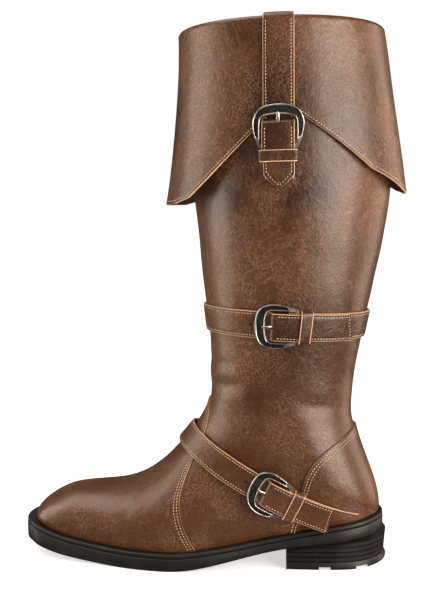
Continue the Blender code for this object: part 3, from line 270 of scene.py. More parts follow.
section_rows = []
for index, row in enumerate(UPPER):
    scale = CALF_WIDTH if index > HEEL_ROW else BALL_WIDTH
    back_x = float(x_at(row[2]))
    seat = float(seat_z(back_x)[0])
    section_rows.append((float(x_at(row[0])), seat if index == 0 else float(height(row[1])), back_x,
                         seat if index <= HEEL_ROW else float(height(row[3])),
                         row[4] * scale, row[5] * scale, row[6] * scale, row[7], row[8], row[9]))
section_curve = spline(section_rows)


def search(shape, low, high, short):
    """Value between low and high, on each place of the shape, at which short turns false."""
    low = np.full(shape, float(low))
    high = np.full(shape, float(high))
    for _ in range(SEARCH_STEPS):
        middle = 0.5 * (low + high)
        below = short(middle)
        low = np.where(below, middle, low)
        high = np.where(below, high, middle)
    return 0.5 * (low + high)


def base_turn(ratio, fullness):
    """Angle at which the lower half of a section has narrowed to the feather line."""
    return search(ratio.shape, 0.02, math.pi / 2,
                  lambda turn: np.cos(turn) * (1.0 + fullness * np.sin(turn) ** 2) > ratio)


def upper_point(s, t):
    """Point of the upper's outer face: s from the toe to the collar in rows of its table, t across
    from the lateral feather line (or the back) over the ridge at 0.5 to the medial side."""
    s, t = np.broadcast_arrays(np.asarray(s, dtype=float), np.asarray(t, dtype=float))
    row = section_curve(s.ravel())
    front = row[:, 0:2]
    back = row[:, 2:4].copy()
    lateral, medial, ridge, widest, full_front, full_back = (row[:, k] for k in range(4, 10))
    foot = s.ravel() < HEEL_ROW
    back[foot, 0] = np.minimum(back[foot, 0], HEEL_BACK_X)
    station = (HEEL_BACK_X - back[:, 0]) / LAST_LENGTH
    back[foot, 1] = seat_z(back[foot, 0])
    across = 2.0 * t.ravel() - 1.0
    medial_side = across > 0.0
    side = np.where(medial_side, 1.0, -1.0)
    half = np.maximum(np.where(medial_side, medial - ridge, lateral + ridge), 1e-6)
    edge = np.where(medial_side, feather_at(station, 2), feather_at(station, 1)) * BALL_WIDTH
    base = np.where(foot, np.where(medial_side, edge - ridge, edge + ridge), 0.0)
    ratio = np.clip(base / half, 0.0, 0.995)
    turn = base_turn(ratio, full_back)
    length = np.hypot(front[:, 0] - back[:, 0], front[:, 1] - back[:, 1])
    upper_run = np.hypot((1.0 - widest) * length, half)
    lower_run = np.hypot(widest * length, half - ratio * half)
    share = upper_run / (upper_run + lower_run)
    a = np.abs(across)
    up = a <= share
    phi = np.where(up, (1.0 - a / share) * math.pi / 2, 0.0)
    psi = np.where(up, 0.0, (a - share) / np.maximum(1.0 - share, 1e-9)) * turn
    q = np.where(up, widest + (1.0 - widest) * np.sin(phi), widest * (1.0 - np.sin(psi) / np.sin(turn)))
    w_up = np.cos(phi) * (1.0 + full_front * np.sin(phi) ** 2)
    w_low = np.cos(psi) * (1.0 + full_back * np.sin(psi) ** 2)
    x = back[:, 0] + q * (front[:, 0] - back[:, 0])
    z = back[:, 1] + q * (front[:, 1] - back[:, 1])
    y = ridge + side * half * np.where(up, w_up, w_low)
    return np.stack([x, y, z], axis=1).reshape(s.shape + (3,))


def upper_normal(s, t):
    s, t = np.broadcast_arrays(np.asarray(s, dtype=float), np.asarray(t, dtype=float))
    step_s = 0.02
    step_t = 0.004
    closed = s >= HEEL_ROW
    s0 = np.clip(s - step_s, np.where(closed, HEEL_ROW, 0.02), TOP_ROW)
    s1 = np.clip(s + step_s, 0.04, TOP_ROW)
    t0 = np.where(closed, np.mod(t - step_t, 1.0), np.clip(t - step_t, 0.0, 1.0))
    t1 = np.where(closed, np.mod(t + step_t, 1.0), np.clip(t + step_t, 0.0, 1.0))
    inner = np.where(closed, np.mod(t, 1.0), np.clip(t, 0.0, 1.0))
    along = upper_point(s1, inner) - upper_point(s0, inner)
    across = upper_point(np.clip(s, 0.03, TOP_ROW), t1) - upper_point(np.clip(s, 0.03, TOP_ROW), t0)
    normal = np.cross(along, across)
    return normal / np.maximum(np.linalg.norm(normal, axis=-1, keepdims=True), 1e-12)


def upper_offset(s, t, distance):
    """Point at a distance out from the upper's outer face."""
    return upper_point(s, t) + upper_normal(s, t) * np.asarray(distance, dtype=float)[..., None]


def solve_row(t, measure, target, low, high):
    """Row s at which measure(x, z) reaches target, on each column t."""
    t, target = np.broadcast_arrays(np.asarray(t, dtype=float), np.asarray(target, dtype=float))

    def short(s):
        point = upper_point(s, np.mod(t, 1.0))
        return measure(point[..., 0], point[..., 2]) < target

    return search(t.shape, low, high, short)


def side_columns(x, z, side=-1):
    """Row and column of the lateral (-1) or medial (1) face at a place of the side view."""
    x, z = np.broadcast_arrays(np.asarray(x, dtype=float), np.asarray(z, dtype=float))

    def plane(s):
        row = section_curve(s.ravel()).reshape(x.shape + (10,))
        return row[..., 2], row[..., 3], row[..., 0] - row[..., 2], row[..., 1] - row[..., 3]

    def in_front(s):
        back_x, back_z, run_x, run_z = plane(s)
        return run_x * (z - back_z) - run_z * (x - back_x) < 0.0

    s = search(x.shape, FIRST_SIDE_ROW, TOP_ROW, in_front)
    run_x, run_z = plane(s)[2:]

    def behind_place(t):
        point = upper_point(s, t if side < 0 else 1.0 - t)
        return (point[..., 0] - x) * run_x + (point[..., 2] - z) * run_z < 0.0

    t = search(x.shape, 0.0, 0.5, behind_place)
    return s, t if side < 0 else 1.0 - t


seam_at = lookup(SEAM_ROWS)


def seam_row(t):
    return seam_at(1.0 - np.abs(2.0 * np.asarray(t) - 1.0), 1)


class Wire:
    """A shader socket that Python's operators join through Math nodes."""

    def __init__(self, finish, socket):
        self.finish = finish
        self.socket = socket

    def maths(self, operation, *others):
        node = self.finish.tree.nodes.new("ShaderNodeMath")
        node.operation = operation
        for slot, value in zip(node.inputs, others):
            self.finish.feed(slot, value)
        return Wire(self.finish, node.outputs[0])

    def __add__(self, other):
        return self.maths("ADD", self, other)

    def __radd__(self, other):
        return self.maths("ADD", other, self)

    def __sub__(self, other):
        return self.maths("SUBTRACT", self, other)

    def __rsub__(self, other):
        return self.maths("SUBTRACT", other, self)

    def __mul__(self, other):
        return self.maths("MULTIPLY", self, other)

    def __rmul__(self, other):
        return self.maths("MULTIPLY", other, self)


class Finish:
    """A material with one Principled shader, built by plain calls."""

    def __init__(self, name, roughness, metallic=0.0):
        self.material = bpy.data.materials.new(name)
        self.material.use_nodes = True
        self.tree = self.material.node_tree
        self.shader = self.tree.nodes["Principled BSDF"]
        self.shader.inputs["Roughness"].default_value = roughness
        self.shader.inputs["Metallic"].default_value = metallic

    def feed(self, slot, value):
        if isinstance(value, Wire):
            self.tree.links.new(value.socket, slot)
        elif slot.type == "RGBA":
            slot.default_value = (*value[:3], 1.0)
        else:
            slot.default_value = value

    def node(self, kind, settings=None, output=0, **values):
        made = self.tree.nodes.new("ShaderNode" + kind)
        for key, value in (settings or {}).items():
            setattr(made, key, value)
        for key, value in values.items():
            place = int(key[2:]) if key.startswith("in") and key[2:].isdigit() else key.replace("_", " ")
            self.feed(made.inputs[place], value)
        return Wire(self, made.outputs[output])

    def set(self, name, value):
        self.feed(self.shader.inputs[name], value)

    def coordinates(self):
        return self.node("TexCoord", output="Object")

    def attribute(self, name, output="Fac"):
        return self.node("Attribute", {"attribute_name": name}, output)

    def noise(self, vector, scale, detail=3.0, roughness=0.5, output=0):
        return self.node("TexNoise", output=output, Vector=vector, Scale=scale, Detail=detail,
                         Roughness=roughness)

    def spread(self, value, low, high, to_low=0.0, to_high=1.0):
        """value from low..high brought smoothly to to_low..to_high."""
        return self.node("MapRange", {"interpolation_type": "SMOOTHSTEP"}, Value=value, in1=low, in2=high,
                         in3=to_low, in4=to_high)

    def mix(self, factor, first, second):
        made = self.tree.nodes.new("ShaderNodeMix")
        made.data_type = "RGBA"
        self.feed(made.inputs[0], factor)
        self.feed(made.inputs[6], first)
        self.feed(made.inputs[7], second)
        return Wire(self, made.outputs[2])

    def shift(self, vector, offset, amount):
        """vector moved by a colour's departure from grey, to break up a pattern's straight lines."""
        moved = self.node("VectorMath", {"operation": "MULTIPLY_ADD"}, in0=offset, in1=(amount,) * 3,
                          in2=(-0.5 * amount,) * 3)
        return self.node("VectorMath", {"operation": "ADD"}, in0=vector, in1=moved)

    def stretch(self, vector, factors):
        return self.node("VectorMath", {"operation": "MULTIPLY"}, in0=vector, in1=factors)

    def bump(self, amount, distance, strength):
        return self.node("Bump", Height=amount, Distance=distance, Strength=strength)


# Patterns of the leather, in repeats to the metre, and depth of its grain
CLOUD_SCALE = 17.0
PATCH_SCALE = 8.0
CRINKLE_SCALE = 330.0
WRINKLE_SCALE = 420.0
MOTTLE_SCALE = 160.0
SCRATCH_SCALE = 95.0
GRAIN_DEPTH = 0.00045
# Painted light: the leather is made lighter from the leg's level down to the foot's, in place of light on the
# lower boot
FOOT_LEVEL = 0.06
LEG_LEVEL = 0.24
BROWN_DEEP = (0.017, 0.0046, 0.0010)
BROWN = (0.046, 0.0138, 0.0030)
BROWN_TAN = (0.125, 0.042, 0.0100)
SCRATCH_TAN = (0.36, 0.165, 0.064)


def leather_finish(name, tone=1.0, worn=1.0):
    """Satin coated leather: uneven brown, tan where it is rubbed, painted light that makes it lighter toward
    the foot, with fine crinkles and scratches.
    """
    finish = Finish(name, 0.4)
    place = finish.coordinates()
    drift = finish.noise(place, 14.0, 2.0, output="Color")
    warped = finish.shift(place, drift, 0.03)
    cloud = finish.spread(finish.noise(warped, CLOUD_SCALE, 5.0, 0.62), 0.38, 0.66)
    patch = finish.spread(finish.noise(warped, PATCH_SCALE, 3.0, 0.55), 0.40, 0.62)
    fibre = finish.shift(place, finish.noise(place, 110.0, 2.0, output="Color"), 0.010)
    torn = finish.shift(place, finish.noise(place, 75.0, 3.0, output="Color"), 0.016)
    crinkle = finish.node("TexVoronoi", {"feature": "DISTANCE_TO_EDGE"}, Vector=torn,
                          Scale=CRINKLE_SCALE, Randomness=1.0)
    lines = finish.spread(crinkle, 0.0, 0.09, 1.0, 0.0)
    wrinkle = finish.noise(finish.stretch(fibre, (1.0, 1.0, 0.55)), WRINKLE_SCALE, 4.0, 0.6)
    scratch_noise = finish.noise(finish.shift(place, drift, 0.12), SCRATCH_SCALE, 7.0, 0.72)
    scratch = finish.spread((scratch_noise - 0.5) * (scratch_noise - 0.5), 0.0, 0.00012, 1.0, 0.0)
    deep, middle, tan = (tuple(tone * c for c in colour) for colour in (BROWN_DEEP, BROWN, BROWN_TAN))
    base = finish.mix(cloud, deep, middle)
    base = finish.mix(patch * 0.50, base, tan)
    # painted light: tan mixed in by height, so the leather is lighter toward the foot
    level = finish.node("SeparateXYZ", output=2, in0=place)
    base = finish.mix(finish.spread(level, FOOT_LEVEL, LEG_LEVEL, 0.46, 0.0), base, tan)
    mottle = finish.spread(finish.noise(fibre, MOTTLE_SCALE, 4.0, 0.65), 0.42, 0.70)
    base = finish.mix(mottle * 0.22, base, tan)
    fine = lines * finish.spread(cloud, 0.1, 0.9, 0.25, 0.9) * (0.36 * worn)
    base = finish.mix(fine, base, SCRATCH_TAN)
    base = finish.mix(scratch * finish.spread(patch, 0.2, 0.9) * (0.5 * worn), base, SCRATCH_TAN)
    finish.set("Base Color", base)
    finish.set("Roughness", 0.28 + 0.12 * wrinkle + 0.05 * cloud)
    finish.set("IOR", 1.5)
    finish.set("Specular IOR Level", 0.55)
    finish.set("Coat Weight", 0.4)
    finish.set("Coat Roughness", 0.27)
    relief = wrinkle * 0.55 - lines * 0.45 * finish.spread(cloud, 0.2, 0.9, 0.3, 1.0) + mottle * 0.5
    finish.set("Normal", finish.bump(relief, GRAIN_DEPTH, 0.8))
    return finish.material


def plain_finish(name, colour, roughness, grain=600.0, depth=0.00015, vary=0.25):
    """Even colour with a fine grain, for thread, raw edges and linings."""
    finish = Finish(name, roughness)
    place = finish.coordinates()
    grains = finish.noise(place, grain, 3.0, 0.6)
    dark = tuple(c * (1.0 - vary) for c in colour)
    finish.set("Base Color", finish.mix(finish.spread(grains, 0.35, 0.65), dark, colour))
    finish.set("Normal", finish.bump(grains, depth, 0.7))
    return finish.material


LEATHER = leather_finish("brown_leather")
STRAP_LEATHER = leather_finish("strap_leather", 0.95, 0.7)
# the raw edges' own colour; on straps and keepers it also wraps over the face's corner as a painted highlight
# line
RAW_EDGE_AND_EDGE_HIGHLIGHT = plain_finish("raw_leather_edge_and_edge_highlight", (0.60, 0.36, 0.20), 0.75)
THREAD = plain_finish("beige_thread", (0.78, 0.56, 0.36), 0.6, 1400.0, 0.0002)
# painted shade: near-black for the needle holes and punched holes, standing in for the shade inside them
HOLE_SHADE = plain_finish("needle_hole", (0.012, 0.007, 0.004), 0.8)
LINING = plain_finish("brown_lining", (0.085, 0.050, 0.032), 0.85, 900.0, 0.0003)


def bake(made):
    """Turn a piece and its modifiers into a plain mesh."""
    made.data = bpy.data.meshes.new_from_object(made.evaluated_get(bpy.context.evaluated_depsgraph_get()))
    made.modifiers.clear()
    made.data.name = made.name


def quads(numbers):
    """Quads between the neighbours in a grid of point numbers."""
    low, high = numbers[:-1], numbers[1:]
    corners = np.stack([low[:, :-1], high[:, :-1], high[:, 1:], low[:, 1:]], axis=-1)
    return [tuple(map(int, face)) for face in corners.reshape(-1, 4)]


def grid_numbers(rows, columns, first=0, wrap_rows=False, wrap_columns=False):
    """Point numbers of a grid, with its first row or column again at the end where it closes."""
    numbers = first + np.arange(rows * columns).reshape(rows, columns)
    return np.pad(numbers, ((0, int(wrap_rows)), (0, int(wrap_columns))), mode="wrap")


def make_piece(name, points, faces, materials, indices=None, sharp=35.0, bevel=0.0):
    """Closed mesh with its faces turned outward, as a piece that rides on the boot."""
    mesh = bpy.data.meshes.new(name)
    mesh.from_pydata([tuple(map(float, point)) for point in points], [], faces)
    for surface in materials:
        mesh.materials.append(surface)
    if indices is not None:
        mesh.polygons.foreach_set("material_index", np.asarray(indices, dtype=np.int32))
    work = bmesh.new()
    work.from_mesh(mesh)
    bmesh.ops.remove_doubles(work, verts=work.verts, dist=1e-7)
    bmesh.ops.recalc_face_normals(work, faces=work.faces)
    if work.calc_volume(signed=True) < 0.0:
        bmesh.ops.reverse_faces(work, faces=work.faces)
    work.to_mesh(mesh)
    work.free()
    made = bpy.data.objects.new(name, mesh)
    scene.collection.objects.link(made)
    if bevel:
        rounding = made.modifiers.new("rounding", "BEVEL")
        rounding.width = bevel
        rounding.segments = 2
        rounding.limit_method = "ANGLE"
        rounding.angle_limit = math.radians(50.0)
        rounding.use_clamp_overlap = True
        bake(made)
    made.data.shade_smooth()
    made.data.set_sharp_from_angle(angle=math.radians(sharp))
    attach(made, "root")
    return made


def sheet_faces(rows, columns, closed, window=None):
    """Quads of an under and an over grid with the rim between them, and each quad's kind:
    0 over, 1 under, 2 rim."""
    count = rows * columns
    faces = []
    kinds = []
    edges = {}
    for index, loop in enumerate(quads(grid_numbers(rows, columns, wrap_rows=closed))):
        i, j = divmod(index, columns - 1)
        if window and window[0][0] <= i < window[0][1] and window[1][0] <= j < window[1][1]:
            continue
        faces += [loop, tuple(reversed([k + count for k in loop]))]
        kinds += [1, 0]
        for a, b in zip(loop, loop[1:] + loop[:1]):
            if (b, a) in edges:
                del edges[(b, a)]
            else:
                edges[(a, b)] = True
    for a, b in edges:
        faces.append((b, a, a + count, b + count))
        kinds.append(2)
    return faces, kinds


def make_sheet(name, under, over, materials, bevel, closed=False):
    """Piece of leather between the grids of its under and its outer face."""
    rows, columns = under.shape[:2]
    faces, kinds = sheet_faces(rows, columns, closed)
    points = np.concatenate([under.reshape(-1, 3), over.reshape(-1, 3)])
    return make_piece(name, points, faces, materials, kinds, bevel=bevel)


# The creases: place in the side view (x, z), direction, length, width and depth of each soft
# trough on the upper, and -1 for the outer side, 1 for the inner, 0 for both
CREASES = [
    (-0.088, 0.148, 12.0, 0.030, 0.0060, 0.0007, 0),
    (-0.096, 0.166, -8.0, 0.020, 0.0050, 0.0004, 0),
    (-0.020, 0.132, -14.0, 0.030, 0.0070, 0.0007, 0),
    (-0.004, 0.116, 6.0, 0.018, 0.0050, 0.0005, 0),
    (-0.072, 0.127, 24.0, 0.036, 0.0080, 0.0006, 0),
    (-0.168, 0.052, 62.0, 0.020, 0.0045, 0.0003, 0),
    (-0.158, 0.050, 70.0, 0.018, 0.0040, 0.0003, 0),
    (-0.060, 0.250, 78.0, 0.070, 0.0140, 0.0006, -1),
    (-0.016, 0.262, 84.0, 0.080, 0.0160, 0.0005, -1),
    (-0.052, 0.170, 60.0, 0.040, 0.0120, 0.0005, -1),
]


# Soft give of the upper's leather: depth, then two crossing waves, each with its turn to the metre
# along x, y and z and its start. It grows from the foot up, over the height of LEG_GIVE
UPPER_WAVES = [
    (0.00035, (0.0, 60.0, 46.0, 1.3), (70.0, 0.0, -24.0, 0.0)),
    (0.00020, (120.0, 0.0, 44.0, 0.0), (0.0, -70.0, 95.0, 0.6)),
]
LEG_GIVE = (0.06, 0.12)
FOOT_SHARE = 0.12
SIDE_BLEND = 0.006


def soft_waves(points, waves):
    relief = 0.0
    for depth, first, second in waves:
        swell = np.sin(points @ first[:3] + first[3]) * np.sin(points @ second[:3] + second[3])
        relief = relief + depth * swell
    return relief


def crease_relief(points):
    """How far the creases and the soft give of the leather move the upper's outer face."""
    x, y, z = points[..., 0], points[..., 1], points[..., 2]
    low, high = LEG_GIVE
    relief = soft_waves(points, UPPER_WAVES) * np.clip((z - low) / (high - low), FOOT_SHARE, 1.0)
    for cx, cz, turn, length, width, depth, side in CREASES:
        c, k = math.cos(math.radians(turn)), math.sin(math.radians(turn))
        along = ((x - cx) * c + (z - cz) * k) / length
        across = (-(x - cx) * k + (z - cz) * c) / width
        trough = np.exp(-along ** 2) * (np.exp(-across ** 2) - 0.35 * np.exp(-(np.abs(across) - 1.8) ** 2))
        shown = 1.0 if side == 0 else 1.0 / (1.0 + np.exp(-side * y / SIDE_BLEND))
        relief -= depth * trough * shown
    return relief


UPPER_COLUMNS = 181
VAMP_ROWS = 96
QUARTER_ROWS = 48
SHAFT_ROWS = 151
columns = np.linspace(0.0, 1.0, UPPER_COLUMNS)
seam = seam_row(columns)
foot_rows = seam * np.linspace(0.0, 1.0, VAMP_ROWS)[:, None]
quarter_rows = seam + (HEEL_ROW - seam) * np.linspace(0.0, 1.0, QUARTER_ROWS)[:, None]
shaft_rows = np.linspace(HEEL_ROW, TOP_ROW, SHAFT_ROWS)[1:, None] + 0.0 * columns


def face_grid(rows, distance, relief=True):
    """Grid of points at a distance from the upper, kept above the feather line."""
    t = np.broadcast_to(np.linspace(0.0, 1.0, rows.shape[1]), rows.shape)
    face = upper_offset(rows, t, np.broadcast_to(distance, rows.shape))
    if relief:
        face = face + upper_normal(rows, t) * crease_relief(face)[..., None]
    on_feather = rows <= HEEL_ROW
    floor_line = seat_z(np.clip(face[..., 0], x_at(1.0), HEEL_BACK_X))
    face[..., 2] = np.where(on_feather, np.maximum(face[..., 2], floor_line), face[..., 2])
    rim = on_feather & ((t == 0.0) | (t == 1.0))
    face[..., 2] = np.where(rim, floor_line, face[..., 2])
    return face


def shell(name, outer, inner, heel_index, open_front):
    """Closed shell from an outer and an inner grid, open along the feather line up to heel_index."""
    rows, count = outer.shape[:2]
    near = grid_numbers(rows, count)
    far = grid_numbers(rows, count, rows * count)
    rims = [(near[:heel_index + 1, 0], far[:heel_index + 1, 0]),
            (near[:heel_index + 1, -1], far[:heel_index + 1, -1]), (near[-1], far[-1])]
    if open_front:
        rims.append((near[0], far[0]))
    rim_faces = [face for rim in rims for face in quads(np.stack(rim))]
    faces = quads(near) + [face[::-1] for face in quads(far)] + rim_faces
    kinds = [0] * len(quads(near)) + [1] * len(quads(far)) + [2] * len(rim_faces)
    points = np.concatenate([outer.reshape(-1, 3), inner.reshape(-1, 3)])
    return make_piece(name, points, faces, [LEATHER, LINING, RAW_EDGE_AND_EDGE_HIGHLIGHT], kinds, sharp=40.0)


# Vamp: the front panel, pulled over the last from the toe to its raw edge on the quarters. It
# stands one step proud of them.

TOE_WALL = 1.4 * UPPER_WALL
vamp_outer = face_grid(foot_rows, VAMP_STEP)
vamp_inner = face_grid(foot_rows, -UPPER_WALL, False)
toe_tip = upper_point([0.0], [0.5])[0]
vamp_outer[0] = toe_tip - [VAMP_STEP, 0.0, 0.0]
vamp_inner[0] = toe_tip + [TOE_WALL, 0.0, 0.0]
vamp = shell("vamp", vamp_outer, vamp_inner, len(foot_rows) - 1, False)
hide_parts("upper")

# Quarters and shaft: one panel round the back of the foot and the leg, open at the collar, with
# its front edge under the vamp.

leg_rows = np.concatenate([quarter_rows, shaft_rows])
leg_outer = face_grid(leg_rows, 0.0)
leg_inner = face_grid(leg_rows, -UPPER_WALL, False)
shaft = shell("quarters_and_shaft", leg_outer, leg_inner, len(quarter_rows) - 1, True)
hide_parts("upper")

# Stitching: beige thread in short stitches with dark balls of painted shade for the needle holes between
# them, laid along rows of points on a piece by one tree of geometry nodes.

STITCH_PITCH = 0.0024
STITCH_LENGTH = 0.0017
STITCH_WIDTH = 0.00058
STITCH_HEIGHT = 0.00050
HOLE_ACROSS = 0.00062
THREAD_LIFT = 0.00005
ROW_SPACING = 0.0008
ROW_STEP = 0.1
SEAM_END = 0.012
VAMP_INSETS = (0.0021, 0.0048)


def stitch_tree():
    """Tree that lays one stitch and one needle hole for each pitch of the rows it is given; the hole is a
    dark ball of painted shade.
    """
    tree = bpy.data.node_groups.new("stitch_row", "GeometryNodeTree")
    face = tree.interface
    face.new_socket("Rows", in_out="INPUT", socket_type="NodeSocketGeometry")
    for name in ("Pitch", "Length", "Width", "Height", "Hole"):
        face.new_socket(name, in_out="INPUT", socket_type="NodeSocketFloat")
    face.new_socket("Stitches", in_out="OUTPUT", socket_type="NodeSocketGeometry")
    nodes, links = tree.nodes, tree.links
    given = nodes.new("NodeGroupInput").outputs
    result = nodes.new("NodeGroupOutput")

    def node(kind, settings=None, **values):
        made = nodes.new(kind)
        for key, value in (settings or {}).items():
            setattr(made, key, value)
        for key, value in values.items():
            slot = made.inputs[int(key[2:]) if key.startswith("in") else key.replace("_", " ")]
            if hasattr(value, "is_output"):
                links.new(value, slot)
            else:
                slot.default_value = value
        return made.outputs

    curve = node("GeometryNodeMeshToCurve", in0=given["Rows"])
    spaced = nodes.new("GeometryNodeResampleCurve")
    spaced.mode = "LENGTH"
    links.new(curve[0], spaced.inputs["Curve"])
    links.new(given["Pitch"], spaced.inputs["Length"])
    tangent = node("GeometryNodeInputTangent")[0]
    outward = node("GeometryNodeInputNamedAttribute", {"data_type": "FLOAT_VECTOR"}, Name="outward")[0]
    along = node("FunctionNodeAlignRotationToVector", {"axis": "X"}, Vector=tangent)[0]
    turn = node("FunctionNodeAlignRotationToVector", {"axis": "Z", "pivot_axis": "X"}, Rotation=along,
                Vector=outward)[0]
    joined = nodes.new("GeometryNodeJoinGeometry")
    # each needle hole is a near-black ball of painted shade
    for finish, segments, sizes in ((THREAD, 8, ("Length", "Width", "Height")),
                                    (HOLE_SHADE, 6, ("Hole", "Hole", "Hole"))):
        ball = node("GeometryNodeMeshUVSphere", Segments=segments, Rings=4, Radius=0.5)[0]
        smooth = node("GeometryNodeSetShadeSmooth", in0=ball)[0]
        x_size, y_size, z_size = (given[size] for size in sizes)
        size = node("ShaderNodeCombineXYZ", in0=x_size, in1=y_size, in2=z_size)[0]
        points = spaced.outputs[0]
        if finish is HOLE_SHADE:
            step = node("ShaderNodeMath", {"operation": "MULTIPLY"}, in0=given["Pitch"], in1=0.5)[0]
            shift = node("ShaderNodeVectorMath", {"operation": "SCALE"}, in0=tangent, Scale=step)[0]
            points = node("GeometryNodeSetPosition", in0=points, Offset=shift)[0]
        laid = node("GeometryNodeInstanceOnPoints", Points=points, Instance=smooth, Rotation=turn,
                    Scale=size)[0]
        solid = node("GeometryNodeRealizeInstances", in0=laid)[0]
        painted = nodes.new("GeometryNodeSetMaterial")
        painted.inputs["Material"].default_value = finish
        links.new(solid, painted.inputs["Geometry"])
        links.new(painted.outputs[0], joined.inputs[0])
    links.new(joined.outputs[0], result.inputs[0])
    return tree


STITCH_TREE = stitch_tree()


def stitch(name, rows):
    """Piece of stitching along rows, each a pair of its points and their outward directions."""
    points = []
    outward = []
    edges = []
    for line, out in rows:
        first = len(points)
        points.extend(line)
        outward.extend(out)
        edges.extend((k, k + 1) for k in range(first, len(points) - 1))
    mesh = bpy.data.meshes.new(name)
    mesh.from_pydata([tuple(map(float, point)) for point in points], edges, [])
    stored = mesh.attributes.new("outward", "FLOAT_VECTOR", "POINT")
    stored.data.foreach_set("vector", np.asarray(outward, dtype=np.float32).ravel())
    made = bpy.data.objects.new(name, mesh)
    scene.collection.objects.link(made)
    work = made.modifiers.new("stitches", "NODES")
    work.node_group = STITCH_TREE
    sizes = {"Pitch": STITCH_PITCH, "Length": STITCH_LENGTH, "Width": STITCH_WIDTH,
             "Height": STITCH_HEIGHT, "Hole": HOLE_ACROSS}
    for item in STITCH_TREE.interface.items_tree:
        if item.name in sizes:
            work[item.identifier] = sizes[item.name]
    bake(made)
    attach(made, "root")
    return made


def run_along(points):
    """Length along a line of points, up to each of them."""
    return np.concatenate([[0.0], np.cumsum(np.linalg.norm(np.diff(points, axis=0), axis=1))])


def even_row(points, outward):
    """A row's points and directions at an even spacing."""
    run = run_along(points)
    at = np.linspace(0.0, run[-1], max(2, int(run[-1] / ROW_SPACING)))
    return (np.column_stack([np.interp(at, run, points[:, k]) for k in range(3)]),
            np.column_stack([np.interp(at, run, outward[:, k]) for k in range(3)]))


def surface_row(s, t, lift, creased=True):
    """Row of stitching at a height over the upper's outer face."""
    out = upper_normal(s, t)
    points = upper_point(s, t)
    lift = lift + crease_relief(points) * creased
    return even_row(points + out * lift[:, None], out)


seam_t = np.linspace(SEAM_END, 1.0 - SEAM_END, 400)
vamp_edge = seam_row(seam_t)
edge_step = upper_point(vamp_edge, seam_t) - upper_point(vamp_edge - ROW_STEP, seam_t)
row_length = np.linalg.norm(edge_step, axis=1) / ROW_STEP
stitch("vamp_stitching", [surface_row(vamp_edge - inset / row_length, seam_t, VAMP_STEP + THREAD_LIFT)
                          for inset in VAMP_INSETS])

# Heel counter: a leather patch over the back of the foot, closed to the welt, with a curved front
# edge that is cut raw and held by two rows of stitching.

COUNTER_THICKNESS = 0.0013
COUNTER_UNDER = 0.0002
COUNTER_BEVEL = 0.00035
COUNTER_INSETS = (0.0022, 0.0047)
COUNTER_STITCH_START = 0.15
# Front edge from the welt up to the back seam: station and level
COUNTER_EDGE = [(0.252, 0.212), (0.243, 0.286), (0.217, 0.451), (0.203, 0.539), (0.181, 0.618),
                (0.142, 0.692), (0.105, 0.738), (0.062, 0.790)]

back_rows = np.linspace(HEEL_ROW, TOP_ROW, 200)
back_line = section_curve(back_rows)[:, 2:4]
counter_edge = np.array([(float(x_at(a)), float(height(b))) for a, b in COUNTER_EDGE])
counter_curve = spline(counter_edge)
corner = len(counter_edge) - 4.0
levels = np.linspace(0.0, 1.0, 48)
shares = 1.0 - np.cos(np.linspace(0.0, 1.0, 64) * math.pi / 2)
back_z = back_line[0, 1] + (counter_edge[-1, 1] - back_line[0, 1]) * levels
back = np.column_stack([np.interp(back_z, back_line[:, 1], back_line[:, 0]), back_z])
front = counter_curve(levels * corner)
front[0, 1] = seat_z(front[0, 0])[0]
top = counter_curve(len(counter_edge) - 1.0 - shares * (len(counter_edge) - 1.0 - corner))
top[0] = back[-1]
bottom_x = back[0, 0] + (front[0, 0] - back[0, 0]) * shares
bottom = np.column_stack([bottom_x, seat_z(bottom_x)])
v = levels[:, None, None]
u = shares[None, :, None]
patch = (1 - u) * back[:, None] + u * front[:, None] + (1 - v) * bottom[None] + v * top[None]
patch -= (1 - u) * (1 - v) * back[0] + u * (1 - v) * front[0] + (1 - u) * v * back[-1] + u * v * front[-1]
halves = []
for side in (-1, 1):
    s, t = side_columns(patch[..., 0], patch[..., 1], side)
    from_back = np.maximum(t if side < 0 else 1.0 - t, 0.0006 * np.arange(len(shares)))
    from_back[:, 0] = 0.0
    t = from_back if side < 0 else 1.0 - from_back
    halves.append((s[:, ::-1], t[:, ::-1]) if side < 0 else (s[:, 1:], t[:, 1:]))
s = np.concatenate([halves[0][0], halves[1][0]], axis=1)
t = np.concatenate([halves[0][1], halves[1][1]], axis=1)
counter_faces = []
for distance in (COUNTER_UNDER, WRAP_GAP + COUNTER_THICKNESS):
    face = upper_offset(s, t, np.full(s.shape, distance))
    if distance > WRAP_GAP:
        face = face + upper_normal(s, t) * 0.5 * crease_relief(face)[..., None]
    face[..., 2] = np.maximum(face[..., 2], seat_z(np.minimum(face[..., 0], HEEL_BACK_X)))
    counter_faces.append(face)
counter = make_sheet("heel_counter_patch", *counter_faces, [LEATHER, LEATHER, RAW_EDGE_AND_EDGE_HIGHLIGHT], COUNTER_BEVEL)
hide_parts("heel_counter")

line = counter_curve(np.linspace(COUNTER_STITCH_START, len(counter_edge) - 1.0, 120))
along = np.gradient(line, axis=0)
along /= np.linalg.norm(along, axis=1, keepdims=True)
inward = np.column_stack([along[:, 1], -along[:, 0]])
counter_rows = []
for inset in COUNTER_INSETS:
    inset_line = (line + inward * inset)[:-4]
    for side in (-1, 1):
        row_s, row_t = side_columns(inset_line[:, 0], inset_line[:, 1], side)
        lift = WRAP_GAP + COUNTER_THICKNESS + THREAD_LIFT
        counter_rows.append(surface_row(row_s, row_t, lift, creased=False))
stitch("counter_stitching", counter_rows)

# Cuff: a band of leather turned over the collar and flaring down over the shaft, cut up to a V at
# each side and long at the front and back, with one row of stitching along its raw edge.

CUFF_THICKNESS = 0.002
CUFF_DROP = 0.134
CUFF_LIP = 0.010
CUFF_BEVEL = 0.0004
